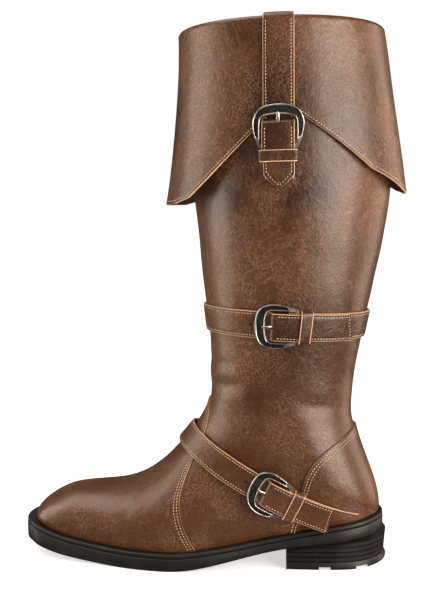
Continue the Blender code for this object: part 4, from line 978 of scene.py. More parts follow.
# Raw edge of the cuff: angle from the front in degrees, share of the drop
CUFF_EDGE = [(0, 1.00), (22, 0.995), (33, 0.965), (45, 0.86), (88, 0.45), (135, 0.815), (165, 0.93),
             (180, 0.955)]
CUFF_FLARE_FRONT = 0.0215
CUFF_FLARE_SIDE = 0.0015
CUFF_FLARE_BACK = 0.0125
FLARE_POWER = 1.65
BACK_FLARE_POWER = 0.75
CUFF_WAVES = [(0.00045, (52.0, 70.0, 14.0, 0.0), (0.0, 22.0, 30.0, 0.8))]
CUFF_STITCH_INSET = 0.0024
CUFF_STITCH_RUNS = ((-178.0, -90.0), (-86.5, 86.5), (90.0, 178.0))

ring_t = np.linspace(0.0, 1.0, 721)
ring = upper_point(np.full_like(ring_t, TOP_ROW), ring_t)
collar_centre = 0.5 * (ring[:, 0].min() + ring[:, 0].max())
collar_length = 0.5 * (ring[:, 0].max() - ring[:, 0].min())
collar_width = 0.5 * (ring[:, 1].max() - ring[:, 1].min())
ring_angle = np.degrees(np.arctan2(ring[:, 1] / collar_width, (collar_centre - ring[:, 0]) / collar_length))
ring_order = np.argsort(ring_angle)


def column_of(angle):
    """Column of the upper at an angle round the collar from the front."""
    return np.interp(angle, ring_angle[ring_order], ring_t[ring_order])


def cuff_flare(angle, drop):
    facing = np.cos(np.radians(angle))
    end = np.where(facing > 0.0, CUFF_FLARE_FRONT, CUFF_FLARE_BACK)
    power = FLARE_POWER + np.where(facing > 0.0, 0.0, BACK_FLARE_POWER * np.abs(facing))
    reach = CUFF_FLARE_SIDE + (end - CUFF_FLARE_SIDE) * facing ** 2
    return reach * (np.maximum(drop, 0.0) / CUFF_DROP) ** power


def level_normal(s, t):
    """Level direction out from the shaft."""
    normal = upper_normal(s, t)
    normal[..., 2] = 0.0
    return normal / np.linalg.norm(normal, axis=-1, keepdims=True)


def level_offset(t, drop, distance, rise):
    """Point off the shaft at a drop below the collar, moved level and then up."""
    row = solve_row(t, lambda x, z: z, COLLAR_HEIGHT - drop, HEEL_ROW + 2.0, TOP_ROW)
    row = np.where(np.asarray(drop) <= 0.0, TOP_ROW, row)
    t = np.mod(t, 1.0)
    point = upper_point(row, t) + level_normal(row, t) * np.asarray(distance)[..., None]
    point[..., 2] += rise
    return point


def fold_path(inner_gap, thickness, lip, turns):
    """Path over the collar: drop, distance of the near and of the far face, and their rise."""
    near = UPPER_WALL / 2 + inner_gap
    far = near + thickness
    centre = -UPPER_WALL / 2
    path = [(lip * share, centre - near, centre - far, 0.0, 0.0) for share in (1.0, 0.5, 0.0)]
    for turn in np.linspace(0.0, math.pi, turns + 2)[1:-1]:
        c, k = math.cos(turn), math.sin(turn)
        path.append((0.0, centre - near * c, centre - far * c, near * k, far * k))
    path.append((0.0, inner_gap, inner_gap + thickness, 0.0, 0.0))
    return path


def cuff_drop(angle):
    """Length of the cuff below the collar at an angle from the front."""
    return np.interp(np.abs(angle), *np.transpose(CUFF_EDGE)) * CUFF_DROP


cuff_angles = np.linspace(-180.0, 180.0, 321)[:-1] + 0.5
cuff_columns = column_of(cuff_angles)
cuff_lengths = cuff_drop(cuff_angles)
near = []
far = []
for drop, near_out, far_out, near_up, far_up in fold_path(WRAP_GAP, CUFF_THICKNESS, CUFF_LIP, 7):
    drops = np.full_like(cuff_columns, drop)
    near.append(level_offset(cuff_columns, drops, np.full_like(drops, near_out), near_up))
    far.append(level_offset(cuff_columns, drops, np.full_like(drops, far_out), far_up))
for share in np.linspace(0.0, 1.0, 61)[1:]:
    drops = cuff_lengths * share
    stand = WRAP_GAP + cuff_flare(cuff_angles, drops)
    near.append(level_offset(cuff_columns, drops, stand, 0.0))
    outer = level_offset(cuff_columns, drops, stand + CUFF_THICKNESS, 0.0)
    away = (outer - near[-1]) / CUFF_THICKNESS
    far.append(outer + away * (soft_waves(outer, CUFF_WAVES) * min(1.0, 4.0 * share))[:, None])
cuff = make_sheet("folded_cuff", np.array(near).transpose(1, 0, 2), np.array(far).transpose(1, 0, 2),
                  [LEATHER, LINING, RAW_EDGE_AND_EDGE_HIGHLIGHT], CUFF_BEVEL, closed=True)
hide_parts("cuff")

cuff_rows = []
for first, last in CUFF_STITCH_RUNS:
    angles = np.linspace(first, last, 400)
    drops = cuff_drop(angles) - CUFF_STITCH_INSET
    stand = WRAP_GAP + CUFF_THICKNESS + cuff_flare(angles, drops)
    line = level_offset(column_of(angles), drops, stand + THREAD_LIFT, 0.0)
    out = line - level_offset(column_of(angles), drops, stand - CUFF_THICKNESS / 2, 0.0)
    out /= np.linalg.norm(out, axis=1, keepdims=True)
    cuff_rows.append(even_row(line + out * soft_waves(line, CUFF_WAVES)[:, None], out))
stitch("cuff_stitching", cuff_rows)

# Straps and buckles. Along a strap, u runs from its buckle's bar toward its tail, v runs across and
# h is the height over the upper. A strap is one thickness of leather with raw edges and a row of
# stitching along each, and passes under the buckle's crown, over its bar and through its keeper.

STRAP_THICKNESS = 0.002
CUFF_STRAP_WIDTH = 0.0220
CALF_STRAP_WIDTH = 0.0212
ANKLE_STRAP_WIDTH = 0.0205
STRAP_SPACING = 0.0016
TAIL_SPACING = 0.0010
STITCH_INSET = 0.0021
FRAME_LENGTH = 0.0305
FRAME_WIDTH = 0.035
FRAME_THICKNESS = 0.003
BAR_THICKNESS = 0.0022
PRONG_WIDTH = 0.0024
PRONG_THICKNESS = 0.0016
KEEPER_WIDTH = 0.0085
KEEPER_THICKNESS = 0.0016
KEEPER_PLACE = 0.0068
KEEPER_SLACK = 0.0006
KEEPER_CORNER = 0.0008
KEEPER_CROWN = 0.00025
EDGE_DIP = 0.00035
EDGE_ROUND = 0.0006
BAR_LEVEL = WRAP_GAP + STRAP_THICKNESS + GAP + BAR_THICKNESS / 2
OVER_BAR = BAR_LEVEL + BAR_THICKNESS / 2 + GAP
TAIL_LEVEL = WRAP_GAP + STRAP_THICKNESS + WRAP_GAP
TAIL_POINT = 0.0095
HOLE_START = -0.0212
HOLE_END = -0.0165
SLOT = PRONG_WIDTH / 2 + 0.0006
# Where the strap climbs from under the crown and where it comes down behind the bar: place, length
CLIMB = (-0.0218, 0.0058)
DESCENT = (0.002, 0.010)
# Stitching stops under the crown and starts again behind the prong's hole
STITCH_STOP = -0.021
STITCH_RESTART = -0.0125
TAIL_INSET = 0.0022
THREAD_SUNK = 0.00022
TAIL_THREAD_SUNK = 0.0001
SPARE_HOLE_RIM = 0.0014
SPARE_HOLE_RADIUS = 0.0011


def smooth_step(value):
    value = np.clip(value, 0.0, 1.0)
    return value * value * (3.0 - 2.0 * value)


def strap_height(u):
    """Under side of the strap: under the crown, over the bar, then on the tail's level."""
    rise = smooth_step((u - CLIMB[0]) / CLIMB[1])
    fall = smooth_step((u - DESCENT[0]) / DESCENT[1])
    return WRAP_GAP + (OVER_BAR - WRAP_GAP) * rise - (OVER_BAR - TAIL_LEVEL) * fall


def strap_rows(start, end):
    """Rows along a strap, with the ends of its prong hole among them."""
    before = np.linspace(start, HOLE_START, max(2, int((HOLE_START - start) / STRAP_SPACING)))
    beside = np.linspace(HOLE_START, HOLE_END, 7)
    behind = np.linspace(HOLE_END, end, int((end - HOLE_END) / TAIL_SPACING))
    return np.concatenate([before, beside[1:], behind[1:]])


def strap_columns(width):
    """Columns across a strap, and how far each lies below the crown of its face."""
    half = width / 2
    insets = np.array([0.0, 0.0004, 0.0010, 0.0016, STITCH_INSET, 0.0026, 0.0034])
    dips = np.array([0.00040, 0.00014, 0.00006, 0.00012, 0.00024, 0.00012, 0.00004])
    inner = np.linspace(half - 0.0048, SLOT, 4)
    columns = np.concatenate([half - insets, inner])
    dips = np.concatenate([dips, 0.0 * inner])
    return np.concatenate([-columns, columns[::-1]]), np.concatenate([dips, dips[::-1]])


def strap_window(rows, columns):
    """Cells of a strap's grid that are left open for the prong."""
    first, last = (int(np.argmin(np.abs(rows - end))) for end in (HOLE_START, HOLE_END))
    middle = len(columns) // 2
    return (first, last), (middle - 1, middle)


def strap_sheet(name, under, over, window=None, raw_ends=False):
    """Strip of leather whose raw edge colour wraps just over the corner of its face, along its sides or
    round its ends, where it is also a painted highlight line along the edges."""
    rows, columns = under.shape[:2]
    faces, kinds = sheet_faces(rows, columns, False, window)
    last = (rows if raw_ends else columns) - 1
    for index, face in enumerate(faces):
        lines = [k % (rows * columns) // columns if raw_ends else k % columns for k in face]
        # painted highlight: the outermost strip of the face takes the light raw-edge colour
        if kinds[index] == 0 and (max(lines) <= 1 or min(lines) >= last - 1):
            kinds[index] = 2
    points = np.concatenate([under.reshape(-1, 3), over.reshape(-1, 3)])
    made = make_piece(name, points, faces, [STRAP_LEATHER, STRAP_LEATHER, RAW_EDGE_AND_EDGE_HIGHLIGHT], kinds)
    return made


def strap_stitches(name, place, lines):
    """Stitching on a strap: each line is arrays of u, v and h."""
    rows = []
    for u, v, h in lines:
        points = place(u, v, h)
        out = place(u, v, h + 0.001) - points
        out /= np.linalg.norm(out, axis=1, keepdims=True)
        rows.append(even_row(points, out))
    return stitch(name, rows)


def strap_holes(name, lay, places, lift=0.0):
    """Spare punched holes along a strap: dark discs of painted shade that sit in its face where the holes
    are.
    """
    turn = np.linspace(0.0, 2.0 * math.pi, 17)[:-1]
    points = []
    faces = []
    for u in places:
        top = float(strap_height(np.array(u))) + STRAP_THICKNESS + lift
        rings = grid_numbers(2, len(turn), len(points), wrap_columns=True)
        for reach, rise in ((SPARE_HOLE_RIM, 0.00002), (SPARE_HOLE_RADIUS, 0.00010)):
            level = np.full(len(turn), top + rise)
            points.extend(lay(u + reach * np.cos(turn), reach * np.sin(turn), level))
        faces += quads(rings) + [tuple(map(int, rings[1, :-1]))]
    return make_piece(name, np.array(points), faces, [HOLE_SHADE])


def tail_shape(u, v, end, point):
    """Narrow a strap's last stretch to its point."""
    return v * np.sqrt(np.clip((end - u) / point, 0.02, 1.0)) ** 1.4


# Buckle frame, from the middle of the crown to the end of an arm: outer u and v, inner u and v as
# shares of its length and half width, and share of its thickness; then the bar
FRAME_ARM = [
    (-1.00, 0.00, -0.740, 0.00, 1.0),
    (-0.975, 0.42, -0.725, 0.38, 1.0),
    (-0.88, 0.77, -0.67, 0.66, 1.0),
    (-0.68, 0.97, -0.53, 0.725, 1.0),
    (-0.48, 1.00, -0.32, 0.73, 1.0),
    (-0.24, 0.92, -0.18, 0.725, 0.95),
    (-0.04, 0.82, -0.085, 0.705, 0.8),
    (0.035, 0.76, -0.037, 0.66, 0.75),
]
FRAME_BAR = (0.036, -0.036, 0.73)
# Section across the band: share from the outer to the inner edge, share of the thickness
BAND_SIDE = [(0.0, 0.0), (0.0, 0.35), (0.0, 0.70), (0.02, 0.88), (0.05, 0.98), (0.105, 1.0),
             (0.15, 0.96), (0.175, 0.80)]
FRAME_SECTIONS = 300
PANEL_COLUMNS = 22
PANEL_EDGE = 0.20
PANEL_RIM = 0.03
PANEL_LEVEL = 0.66
CURL_RISE = 0.22
CURL_POLISH = 0.42
# Where the band is narrow its panel ends: width, further width to the full depth, level
PLAIN_BAND = 0.0030
BAND_BLEND = 0.0020
PLAIN_LEVEL = 0.96
SCROLL_PITCH = 0.0049


def metal_finish():
    """Antiqued white metal: polished where it stands proud, black in the engraved ground."""
    finish = Finish("antiqued_metal", 0.2, 1.0)
    ground = finish.attribute("ground")
    place = finish.coordinates()
    grime = finish.spread(finish.noise(place, 420.0, 3.0), 0.35, 0.7)
    ink = finish.spread(ground + grime * 0.18, 0.25, 0.62)
    finish.set("Base Color", finish.mix(ink, (0.80, 0.79, 0.77), (0.010, 0.010, 0.011)))
    finish.set("Metallic", 1.0 - 0.9 * ink)
    finish.set("Roughness", 0.30 + 0.12 * ink + 0.10 * grime)
    finish.set("Normal", finish.bump(grime, 0.00006, 0.5))
    return finish.material


METAL = metal_finish()


def frame_sections(count):
    """Sections round the frame: the arm from one end over the crown to the other, then the bar."""
    arm = np.array(FRAME_ARM)
    whole = np.concatenate([arm[::-1] * [1, -1, 1, -1, 1], arm[1:]])
    curve = spline(whole)(np.linspace(0.0, len(whole) - 1.0, count))
    outer, inner, thick = FRAME_BAR
    bar = [(outer, v, inner, v, thick) for v in np.linspace(0.62, -0.62, 13)]
    return np.concatenate([curve, bar])


def scroll(along, across):
    """Engraved leaf scrolls: 1 on a raised curl, 0 in the ground between. Lengths in metres."""
    cell = np.floor(along / SCROLL_PITCH)
    flip = np.where(np.mod(cell, 2.0) > 0.5, 1.0, -1.0)
    x = along / SCROLL_PITCH - cell - 0.5
    y = across / SCROLL_PITCH * flip
    reach = np.hypot(x, y - 0.08)
    turn = np.arctan2(y - 0.08, x)
    curl = np.cos(turn - 17.0 * reach + 0.9)
    leaf = np.cos(2.0 * math.pi * (along / SCROLL_PITCH) + 5.0 * across / SCROLL_PITCH * flip)
    mask = np.where(reach < 0.46, curl, leaf)
    return smooth_step((mask - 0.35) / 0.35)


def store_ground(made, values):
    """Keep for the metal how deep each point lies in the engraved ground."""
    stored = made.data.attributes.new("ground", "FLOAT", "POINT")
    stored.data.foreach_set("value", values[:len(made.data.vertices)].astype(np.float32))


def make_frame(name, place, lift, node):
    """Cast frame: a band round the crown and arms with an engraved panel, closed by its bar."""
    table = frame_sections(FRAME_SECTIONS)
    low = lift + BAR_LEVEL - BAR_THICKNESS / 2
    side_shares, side_levels = np.transpose(BAND_SIDE)
    panel_shares = np.linspace(PANEL_EDGE, 1.0 - PANEL_EDGE, PANEL_COLUMNS)
    shares = np.concatenate([side_shares, panel_shares, 1.0 - side_shares[::-1]])
    levels = np.concatenate([side_levels, np.full(PANEL_COLUMNS, PANEL_LEVEL), side_levels[::-1]])
    panel = np.concatenate([0.0 * side_shares, np.ones(PANEL_COLUMNS), 0.0 * side_shares])
    outer = table[:, 0:2] * [FRAME_LENGTH, FRAME_WIDTH / 2]
    inner = table[:, 2:4] * [FRAME_LENGTH, FRAME_WIDTH / 2]
    band = np.linalg.norm(outer - inner, axis=1)
    run = run_along(0.5 * (outer + inner))
    carved = smooth_step((band - PLAIN_BAND) / BAND_BLEND)[:, None]
    across = (shares - 0.5)[None, :] * band[:, None]
    curls = scroll(run[:, None] - run[np.argmin(table[:FRAME_SECTIONS, 0])] + 0.0 * across, across)
    edge = np.minimum(shares - PANEL_EDGE, 1.0 - PANEL_EDGE - shares)
    curls = np.where(edge[None, :] < PANEL_RIM, 0.0, curls)
    plain = np.where((levels < 0.8) & (panel == 0.0), levels, PLAIN_LEVEL)
    level = (levels + CURL_RISE * curls * panel) * carved + plain * (1.0 - carved)
    u = outer[:, None, 0] + (inner - outer)[:, None, 0] * shares
    v = outer[:, None, 1] + (inner - outer)[:, None, 1] * shares
    h = low + level * FRAME_THICKNESS * table[:, 4:5]
    faces = quads(grid_numbers(*u.shape, wrap_rows=True, wrap_columns=True))
    made = make_piece(name, place(u, v, h).reshape(-1, 3), faces, [METAL], sharp=60.0)
    store_ground(made, (panel * carved * (1.0 - CURL_POLISH * curls)).ravel())
    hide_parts(node)
    return made


# Prong, from the bar to its tip: place along the strap and rise over the bar's middle, then share
# of its length and share of its full section
PRONG_PATH = [(-0.0015, 0.0), (-0.0130, -0.0001), (-0.0178, 0.0012), (-0.0210, 0.0028), (-0.0244, 0.0032)]
PRONG_TAPER = [(0.0, 0.55), (0.06, 0.95), (0.5, 1.0), (0.88, 0.8), (0.97, 0.62), (1.0, 0.25)]
PRONG_SECTIONS = 33


def make_prong(name, place, lift, node):
    """Tapered round prong from the bar to its tip on the crown."""
    path = spline(PRONG_PATH)(np.linspace(0.0, len(PRONG_PATH) - 1.0, PRONG_SECTIONS))
    turn = np.linspace(0.0, 2.0 * math.pi, 17)[:-1]
    taper = np.interp(np.linspace(0.0, 1.0, PRONG_SECTIONS), *np.transpose(PRONG_TAPER))[:, None]
    u = path[:, :1] + 0.0 * turn
    v = taper * np.cos(turn) * PRONG_WIDTH / 2
    h = lift + BAR_LEVEL + path[:, 1:2] + taper * np.sin(turn) * PRONG_THICKNESS / 2
    rings = grid_numbers(*u.shape, wrap_columns=True)
    faces = quads(rings) + [tuple(map(int, end)) for end in (rings[0, :-1], rings[-1, :-1])]
    made = make_piece(name, place(u, v, h).reshape(-1, 3), faces, [METAL], sharp=50.0)
    store_ground(made, np.zeros(len(made.data.vertices)))
    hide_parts(node)
    return made


def make_keeper(name, place, lift, width, node):
    """Leather loop over both thicknesses of strap, its feet beside them."""
    side = width / 2 + KEEPER_SLACK
    u = np.linspace(-KEEPER_WIDTH / 2, KEEPER_WIDTH / 2, 15) + KEEPER_PLACE
    edge = np.minimum(u - u[0], u[-1] - u)
    dip = EDGE_DIP * np.clip(1.0 - edge / EDGE_ROUND, 0.0, 1.0) ** 2
    turn = np.linspace(0.0, math.pi / 2, 6)
    flat = np.linspace(-side + KEEPER_CORNER, side - KEEPER_CORNER, 20)[1:-1]

    def path(grown, clear):
        centre_v, centre_h = KEEPER_CORNER - side, clear - KEEPER_CORNER
        bend = KEEPER_CORNER + grown
        left = [(centre_v - bend * math.cos(a), centre_h + bend * math.sin(a)) for a in turn]
        foot = [(-side - grown, WRAP_GAP + (centre_h - WRAP_GAP) * k) for k in (0.0, 0.5)]
        crown = [(p, clear + grown + KEEPER_CROWN * (1.0 - (p / side) ** 2)) for p in flat]
        half = foot + left
        return np.array(half + crown + [(-a, b) for a, b in half[::-1]])

    under = []
    over = []
    for k, low in zip(u, dip):
        clear = float(strap_height(np.array(k))) + STRAP_THICKNESS + GAP
        inner = path(0.0, clear)
        outer = path(KEEPER_THICKNESS - low, clear)
        under.append(place(np.full(len(inner), k), inner[:, 0], inner[:, 1] + lift))
        over.append(place(np.full(len(outer), k), outer[:, 0], outer[:, 1] + lift))
    made = strap_sheet(name, np.array(under), np.array(over), raw_ends=True)
    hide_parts(node)
    return made


# Calf strap: one strap round the shaft, with its far end held under the bar of its own buckle. The
# tail is cut on a slant and stitched across its end.

CALF_LEVEL = 0.199
CALF_SLOPE = 0.046
CALF_BAR_X = -0.034
CALF_TAIL = 0.048
CALF_ROWS = (15.5, 21.0)
CALF_OVERLAP = 0.006
CALF_THREAD_START = 0.004
CALF_SLANT = 0.35
CALF_SLANT_LENGTH = 0.011
CALF_HOLES = (-0.0345, 0.0055, 0.0405)


def calf_measure(x, z):
    return z - CALF_LEVEL - CALF_SLOPE * (CALF_BAR_X - x)


calf_t_bar = side_columns(np.array([CALF_BAR_X]), np.array([CALF_LEVEL]))[1][0]
calf_t = calf_t_bar - np.arange(-1.12, 0.45, 0.0015)
calf_run = run_along(upper_point(solve_row(calf_t, calf_measure, 0.0, *CALF_ROWS), np.mod(calf_t, 1.0)))
calf_run -= np.interp(0.0, calf_t_bar - calf_t, calf_run)


def calf_column(u):
    return calf_t_bar - np.interp(u, calf_run, calf_t_bar - calf_t)


def calf_place(u, v, h):
    u, v, h = np.broadcast_arrays(u, v, h)
    column = calf_column(u)
    row = solve_row(column, calf_measure, v, *CALF_ROWS)
    return upper_offset(row, np.mod(column, 1.0), h)


dense_u = np.linspace(-0.45, 0.1, 1101)
calf_round = np.interp(1.0, (calf_column(dense_u) - calf_t_bar)[::-1], dense_u[::-1])
rows = strap_rows(calf_round - CALF_OVERLAP, CALF_TAIL)
columns, dips = strap_columns(CALF_STRAP_WIDTH)
u = rows[:, None] + 0.0 * columns
v = columns + 0.0 * u


def calf_lay(u, v, h):
    slant = CALF_SLANT * np.clip((u - CALF_TAIL) / CALF_SLANT_LENGTH + 1.0, 0.0, 1.0)
    return calf_place(u - slant * (CALF_STRAP_WIDTH / 2 + v), v, h)


h = strap_height(u)
calf_strap = strap_sheet("calf_strap_leather", calf_lay(u, v, h), calf_lay(u, v, h + STRAP_THICKNESS - dips),
                         strap_window(rows, columns))
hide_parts("calf_strap")
lines = []
for side in (-1.0, 1.0):
    for a, b in ((calf_round + CALF_THREAD_START, STITCH_STOP), (STITCH_RESTART, CALF_TAIL - TAIL_INSET)):
        line_u = np.linspace(a, b, 300)
        lines.append((line_u, np.full(300, side * (CALF_STRAP_WIDTH / 2 - STITCH_INSET)),
                      strap_height(line_u) + STRAP_THICKNESS - THREAD_SUNK))
across = np.linspace(-1.0, 1.0, 40) * (CALF_STRAP_WIDTH / 2 - STITCH_INSET)
lines.append((np.full(40, CALF_TAIL - TAIL_INSET), across,
              np.full(40, TAIL_LEVEL + STRAP_THICKNESS - TAIL_THREAD_SUNK)))
strap_stitches("calf_strap_stitching", calf_lay, lines)
# the spare holes are dark discs of painted shade
strap_holes("calf_strap_hole_shade", calf_lay, CALF_HOLES)
make_frame("calf_buckle_frame", calf_place, 0.0, "calf_buckle")
make_prong("calf_buckle_prong", calf_place, 0.0, "calf_prong")
make_keeper("calf_strap_keeper", calf_place, 0.0, CALF_STRAP_WIDTH, "calf_keeper")

# Ankle strap: from the welt on the inner side over the instep, through its buckle and down toward
# the heel; the short base that carries the bar runs from under the tail to the welt

ANKLE_LIFT = COUNTER_THICKNESS + WRAP_GAP + 0.0007
ANKLE_START = (-0.124, 0.103)
ANKLE_END = (-0.0105, 0.0436)
ANKLE_SAG = 0.0035
ANKLE_BAR_X = -0.043
ANKLE_TAIL = 0.040
ANKLE_FOOT_GAP = 0.0075
ANKLE_CROSS_U = -0.062
ANKLE_ROWS = (8.0, 15.0)
ANKLE_SLANT = 0.25
ANKLE_SLANT_LENGTH = 0.010
ANKLE_HOLES = (-0.0345, 0.0075)
ANKLE_SLOPE = (ANKLE_END[1] - ANKLE_START[1]) / (ANKLE_END[0] - ANKLE_START[0])
ANKLE_STRETCH = math.hypot(1.0, ANKLE_SLOPE)


def ankle_line(x):
    share = (x - ANKLE_START[0]) / (ANKLE_END[0] - ANKLE_START[0])
    return ANKLE_START[1] + ANKLE_SLOPE * (x - ANKLE_START[0]) - 4.0 * ANKLE_SAG * share * (1.0 - share)


def ankle_measure(x, z):
    return (z - ankle_line(x)) / ANKLE_STRETCH


ankle_x = np.linspace(-0.114, 0.012, 64)
ankle_s, ankle_t = side_columns(ankle_x, ankle_line(ankle_x))
ankle_run = run_along(upper_point(ankle_s, ankle_t))
ankle_run -= np.interp(ANKLE_BAR_X, ankle_x, ankle_run)


def ankle_columns(x, v, side=-1):
    return side_columns(x - v * ANKLE_SLOPE / ANKLE_STRETCH, ankle_line(x) + v / ANKLE_STRETCH, side)


def ankle_place(u, v, h):
    u, v, h = np.broadcast_arrays(u, v, h)
    s, t = ankle_columns(np.interp(u, ankle_run, ankle_x), v)
    return upper_offset(s, t, h)


def foot_x(v):
    """Place along the strap's middle where its line at v comes down to the welt."""
    def free(x):
        ground = seat_z(x - v * ANKLE_SLOPE / ANKLE_STRETCH) + ANKLE_FOOT_GAP
        return ankle_line(x) + v / ANKLE_STRETCH > ground

    return search(v.shape, ANKLE_BAR_X - 0.007, HEEL_BACK_X, free)


columns, dips = strap_columns(ANKLE_STRAP_WIDTH)
rows = strap_rows(ANKLE_CROSS_U, ANKLE_TAIL)


def ankle_lay(u, v, h):
    slant = ANKLE_SLANT * np.clip((u - ANKLE_TAIL) / ANKLE_SLANT_LENGTH + 1.0, 0.0, 1.0)
    return ankle_place(u - slant * (ANKLE_STRAP_WIDTH / 2 + v), v, h)


cross_x = float(np.interp(ANKLE_CROSS_U, ankle_run, ankle_x))
near_t = ankle_columns(cross_x + 0.0 * columns, columns)[1]


def inner_grid(columns, near_t):
    """Rows and columns of the strap on the inner side and over the ridge of the instep."""
    far_x = cross_x + (foot_x(columns) - cross_x) * np.linspace(1.0, 0.0, 70)[:, None]
    far_s, far_t = ankle_columns(far_x, columns + 0.0 * far_x, 1)
    ridge_t = far_t[-1] + (near_t - far_t[-1]) * np.linspace(0.0, 1.0, 30)[1:-1, None]
    ridge_s = solve_row(ridge_t, ankle_measure, columns + 0.0 * ridge_t, *ANKLE_ROWS)
    return np.concatenate([far_s, ridge_s]), np.concatenate([far_t, ridge_t])


s, t = inner_grid(columns, near_t)
u = rows[:, None] + 0.0 * columns
v = columns + 0.0 * u
h = strap_height(u) + ANKLE_LIFT
level = np.full(t.shape, WRAP_GAP + ANKLE_LIFT)
under = np.concatenate([upper_offset(s, t, level), ankle_lay(u, v, h)])
over = np.concatenate([upper_offset(s, t, level + STRAP_THICKNESS - dips),
                       ankle_lay(u, v, h + STRAP_THICKNESS - dips)])
(first, last), across_cells = strap_window(rows, columns)
ankle_strap = strap_sheet("ankle_strap_leather", under, over, ((first + len(s), last + len(s)), across_cells))
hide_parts("ankle_strap")


def ankle_thread(u, v):
    """Points and outward directions of a line of thread on the strap."""
    points = ankle_lay(u, v, strap_height(u) + ANKLE_LIFT + STRAP_THICKNESS - THREAD_SUNK)
    return points, upper_normal(*ankle_columns(np.interp(u, ankle_run, ankle_x), v))


stitch_rows = []
for side in (-1.0, 1.0):
    edge_v = side * (ANKLE_STRAP_WIDTH / 2 - STITCH_INSET)
    column = int(np.argmin(np.abs(columns - edge_v)))
    out = upper_normal(s[:, column], t[:, column])
    stand = WRAP_GAP + ANKLE_LIFT + STRAP_THICKNESS - THREAD_SUNK
    points = upper_point(s[:, column], t[:, column]) + out * stand
    near_points, near_out = ankle_thread(np.linspace(ANKLE_CROSS_U, STITCH_STOP, 80), np.full(80, edge_v))
    stitch_rows.append(even_row(np.concatenate([points[4:], near_points[1:]]),
                                np.concatenate([out[4:], near_out[1:]])))
    tail_u = np.linspace(STITCH_RESTART, ANKLE_TAIL - TAIL_INSET, 120)
    stitch_rows.append(even_row(*ankle_thread(tail_u, np.full(120, edge_v))))
across = np.linspace(-1.0, 1.0, 40) * (ANKLE_STRAP_WIDTH / 2 - STITCH_INSET)
end_points = ankle_lay(np.full(40, ANKLE_TAIL - TAIL_INSET), across,
                       TAIL_LEVEL + ANKLE_LIFT + STRAP_THICKNESS - TAIL_THREAD_SUNK)
end_out = upper_normal(*ankle_columns(np.full(40, np.interp(ANKLE_TAIL, ankle_run, ankle_x)), across))
stitch_rows.append(even_row(end_points, end_out))
stitch("ankle_strap_stitching", stitch_rows)
# the spare holes are dark discs of painted shade
strap_holes("ankle_strap_hole_shade", ankle_lay, ANKLE_HOLES, ANKLE_LIFT)

base_columns, base_dips = strap_columns(ANKLE_STRAP_WIDTH - 0.001)
start = ANKLE_BAR_X - 0.003
x = start + (foot_x(base_columns) - start) * np.linspace(0.0, 1.0, 50)[:, None]
s, t = ankle_columns(x, base_columns + 0.0 * x)
level = np.full(t.shape, WRAP_GAP + ANKLE_LIFT)
ankle_base = strap_sheet("ankle_strap_base_leather", upper_offset(s, t, level),
                         upper_offset(s, t, level + STRAP_THICKNESS - base_dips))
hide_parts("ankle_strap_base")
make_frame("ankle_buckle_frame", ankle_place, ANKLE_LIFT, "ankle_buckle")
make_prong("ankle_buckle_prong", ankle_place, ANKLE_LIFT, "ankle_prong")
make_keeper("ankle_strap_keeper", ankle_place, ANKLE_LIFT, ANKLE_STRAP_WIDTH, "ankle_keeper")

# Cuff strap: out of the boot, over the folded collar and down the cuff to its buckle, with a pointed
# tail on the short base that is sewn to the shaft

CUFF_STRAP_X = -0.045
CUFF_BAR_Z = 0.335
CUFF_TAIL = 0.030
CUFF_LIFT = CUFF_THICKNESS + WRAP_GAP + 0.001
# Where it leaves the cuff's face for the shaft: place and length
CUFF_STRAP_FALL = (0.004, 0.014)


def cuff_place(u, v, h):
    u, v, h = np.broadcast_arrays(u, v, h)
    s, t = side_columns(CUFF_STRAP_X + v, CUFF_BAR_Z - u)
    return upper_offset(s, t, h)


columns, dips = strap_columns(CUFF_STRAP_WIDTH)
under = []
over = []
for drop, near_out, far_out, near_up, far_up in fold_path(WRAP_GAP + CUFF_THICKNESS + GAP, STRAP_THICKNESS,
                                                          CUFF_LIP + 0.003, 9):
    s, t = side_columns(CUFF_STRAP_X + columns, np.full(len(columns), COLLAR_HEIGHT - drop))
    if drop == 0.0:
        s = np.full(len(columns), float(TOP_ROW))
    normal = level_normal(s, t)
    point = upper_point(s, t)
    shrink = (1.0 - dips / STRAP_THICKNESS)[:, None]
    low = normal * near_out + [0.0, 0.0, near_up]
    under.append(point + low)
    over.append(point + low + (normal * far_out + [0.0, 0.0, far_up] - low) * shrink)
fold_count = len(under)
rows = strap_rows(CUFF_BAR_Z - COLLAR_HEIGHT + 0.004, CUFF_TAIL)
u = rows[:, None] + 0.0 * columns


def off_shaft(u):
    """How far the cuff keeps its strap off the shaft."""
    return CUFF_LIFT * (1.0 - smooth_step((u - CUFF_STRAP_FALL[0]) / CUFF_STRAP_FALL[1]))


def cuff_level(u):
    """Under side of the cuff strap, down from the cuff to the shaft after its bar."""
    return strap_height(u) + off_shaft(u)


v = tail_shape(u, columns + 0.0 * u, CUFF_TAIL, TAIL_POINT)
h = cuff_level(u)
under = np.concatenate([np.array(under), cuff_place(u, v, h)])
over = np.concatenate([np.array(over), cuff_place(u, v, h + STRAP_THICKNESS - dips)])
(first, last), across_cells = strap_window(rows, columns)
cuff_strap = strap_sheet("cuff_strap_leather", under, over,
                         ((first + fold_count, last + fold_count), across_cells))
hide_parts("cuff_strap")
lines = []
edge_v = CUFF_STRAP_WIDTH / 2 - STITCH_INSET
for side in (-1.0, 1.0):
    line_u = np.linspace(CUFF_BAR_Z - COLLAR_HEIGHT + 0.002, STITCH_STOP, 200)
    lines.append((line_u, np.full(200, side * edge_v), cuff_level(line_u) + STRAP_THICKNESS - THREAD_SUNK))
line_u = np.linspace(STITCH_RESTART, CUFF_TAIL - TAIL_INSET - 0.0004, 200)
for side in (-1.0, 1.0):
    narrow = tail_shape(line_u, np.full(200, side), CUFF_TAIL - TAIL_INSET, TAIL_POINT) * edge_v
    lines.append((line_u, narrow, cuff_level(line_u) + STRAP_THICKNESS - TAIL_THREAD_SUNK))
strap_stitches("cuff_strap_stitching", cuff_place, lines)

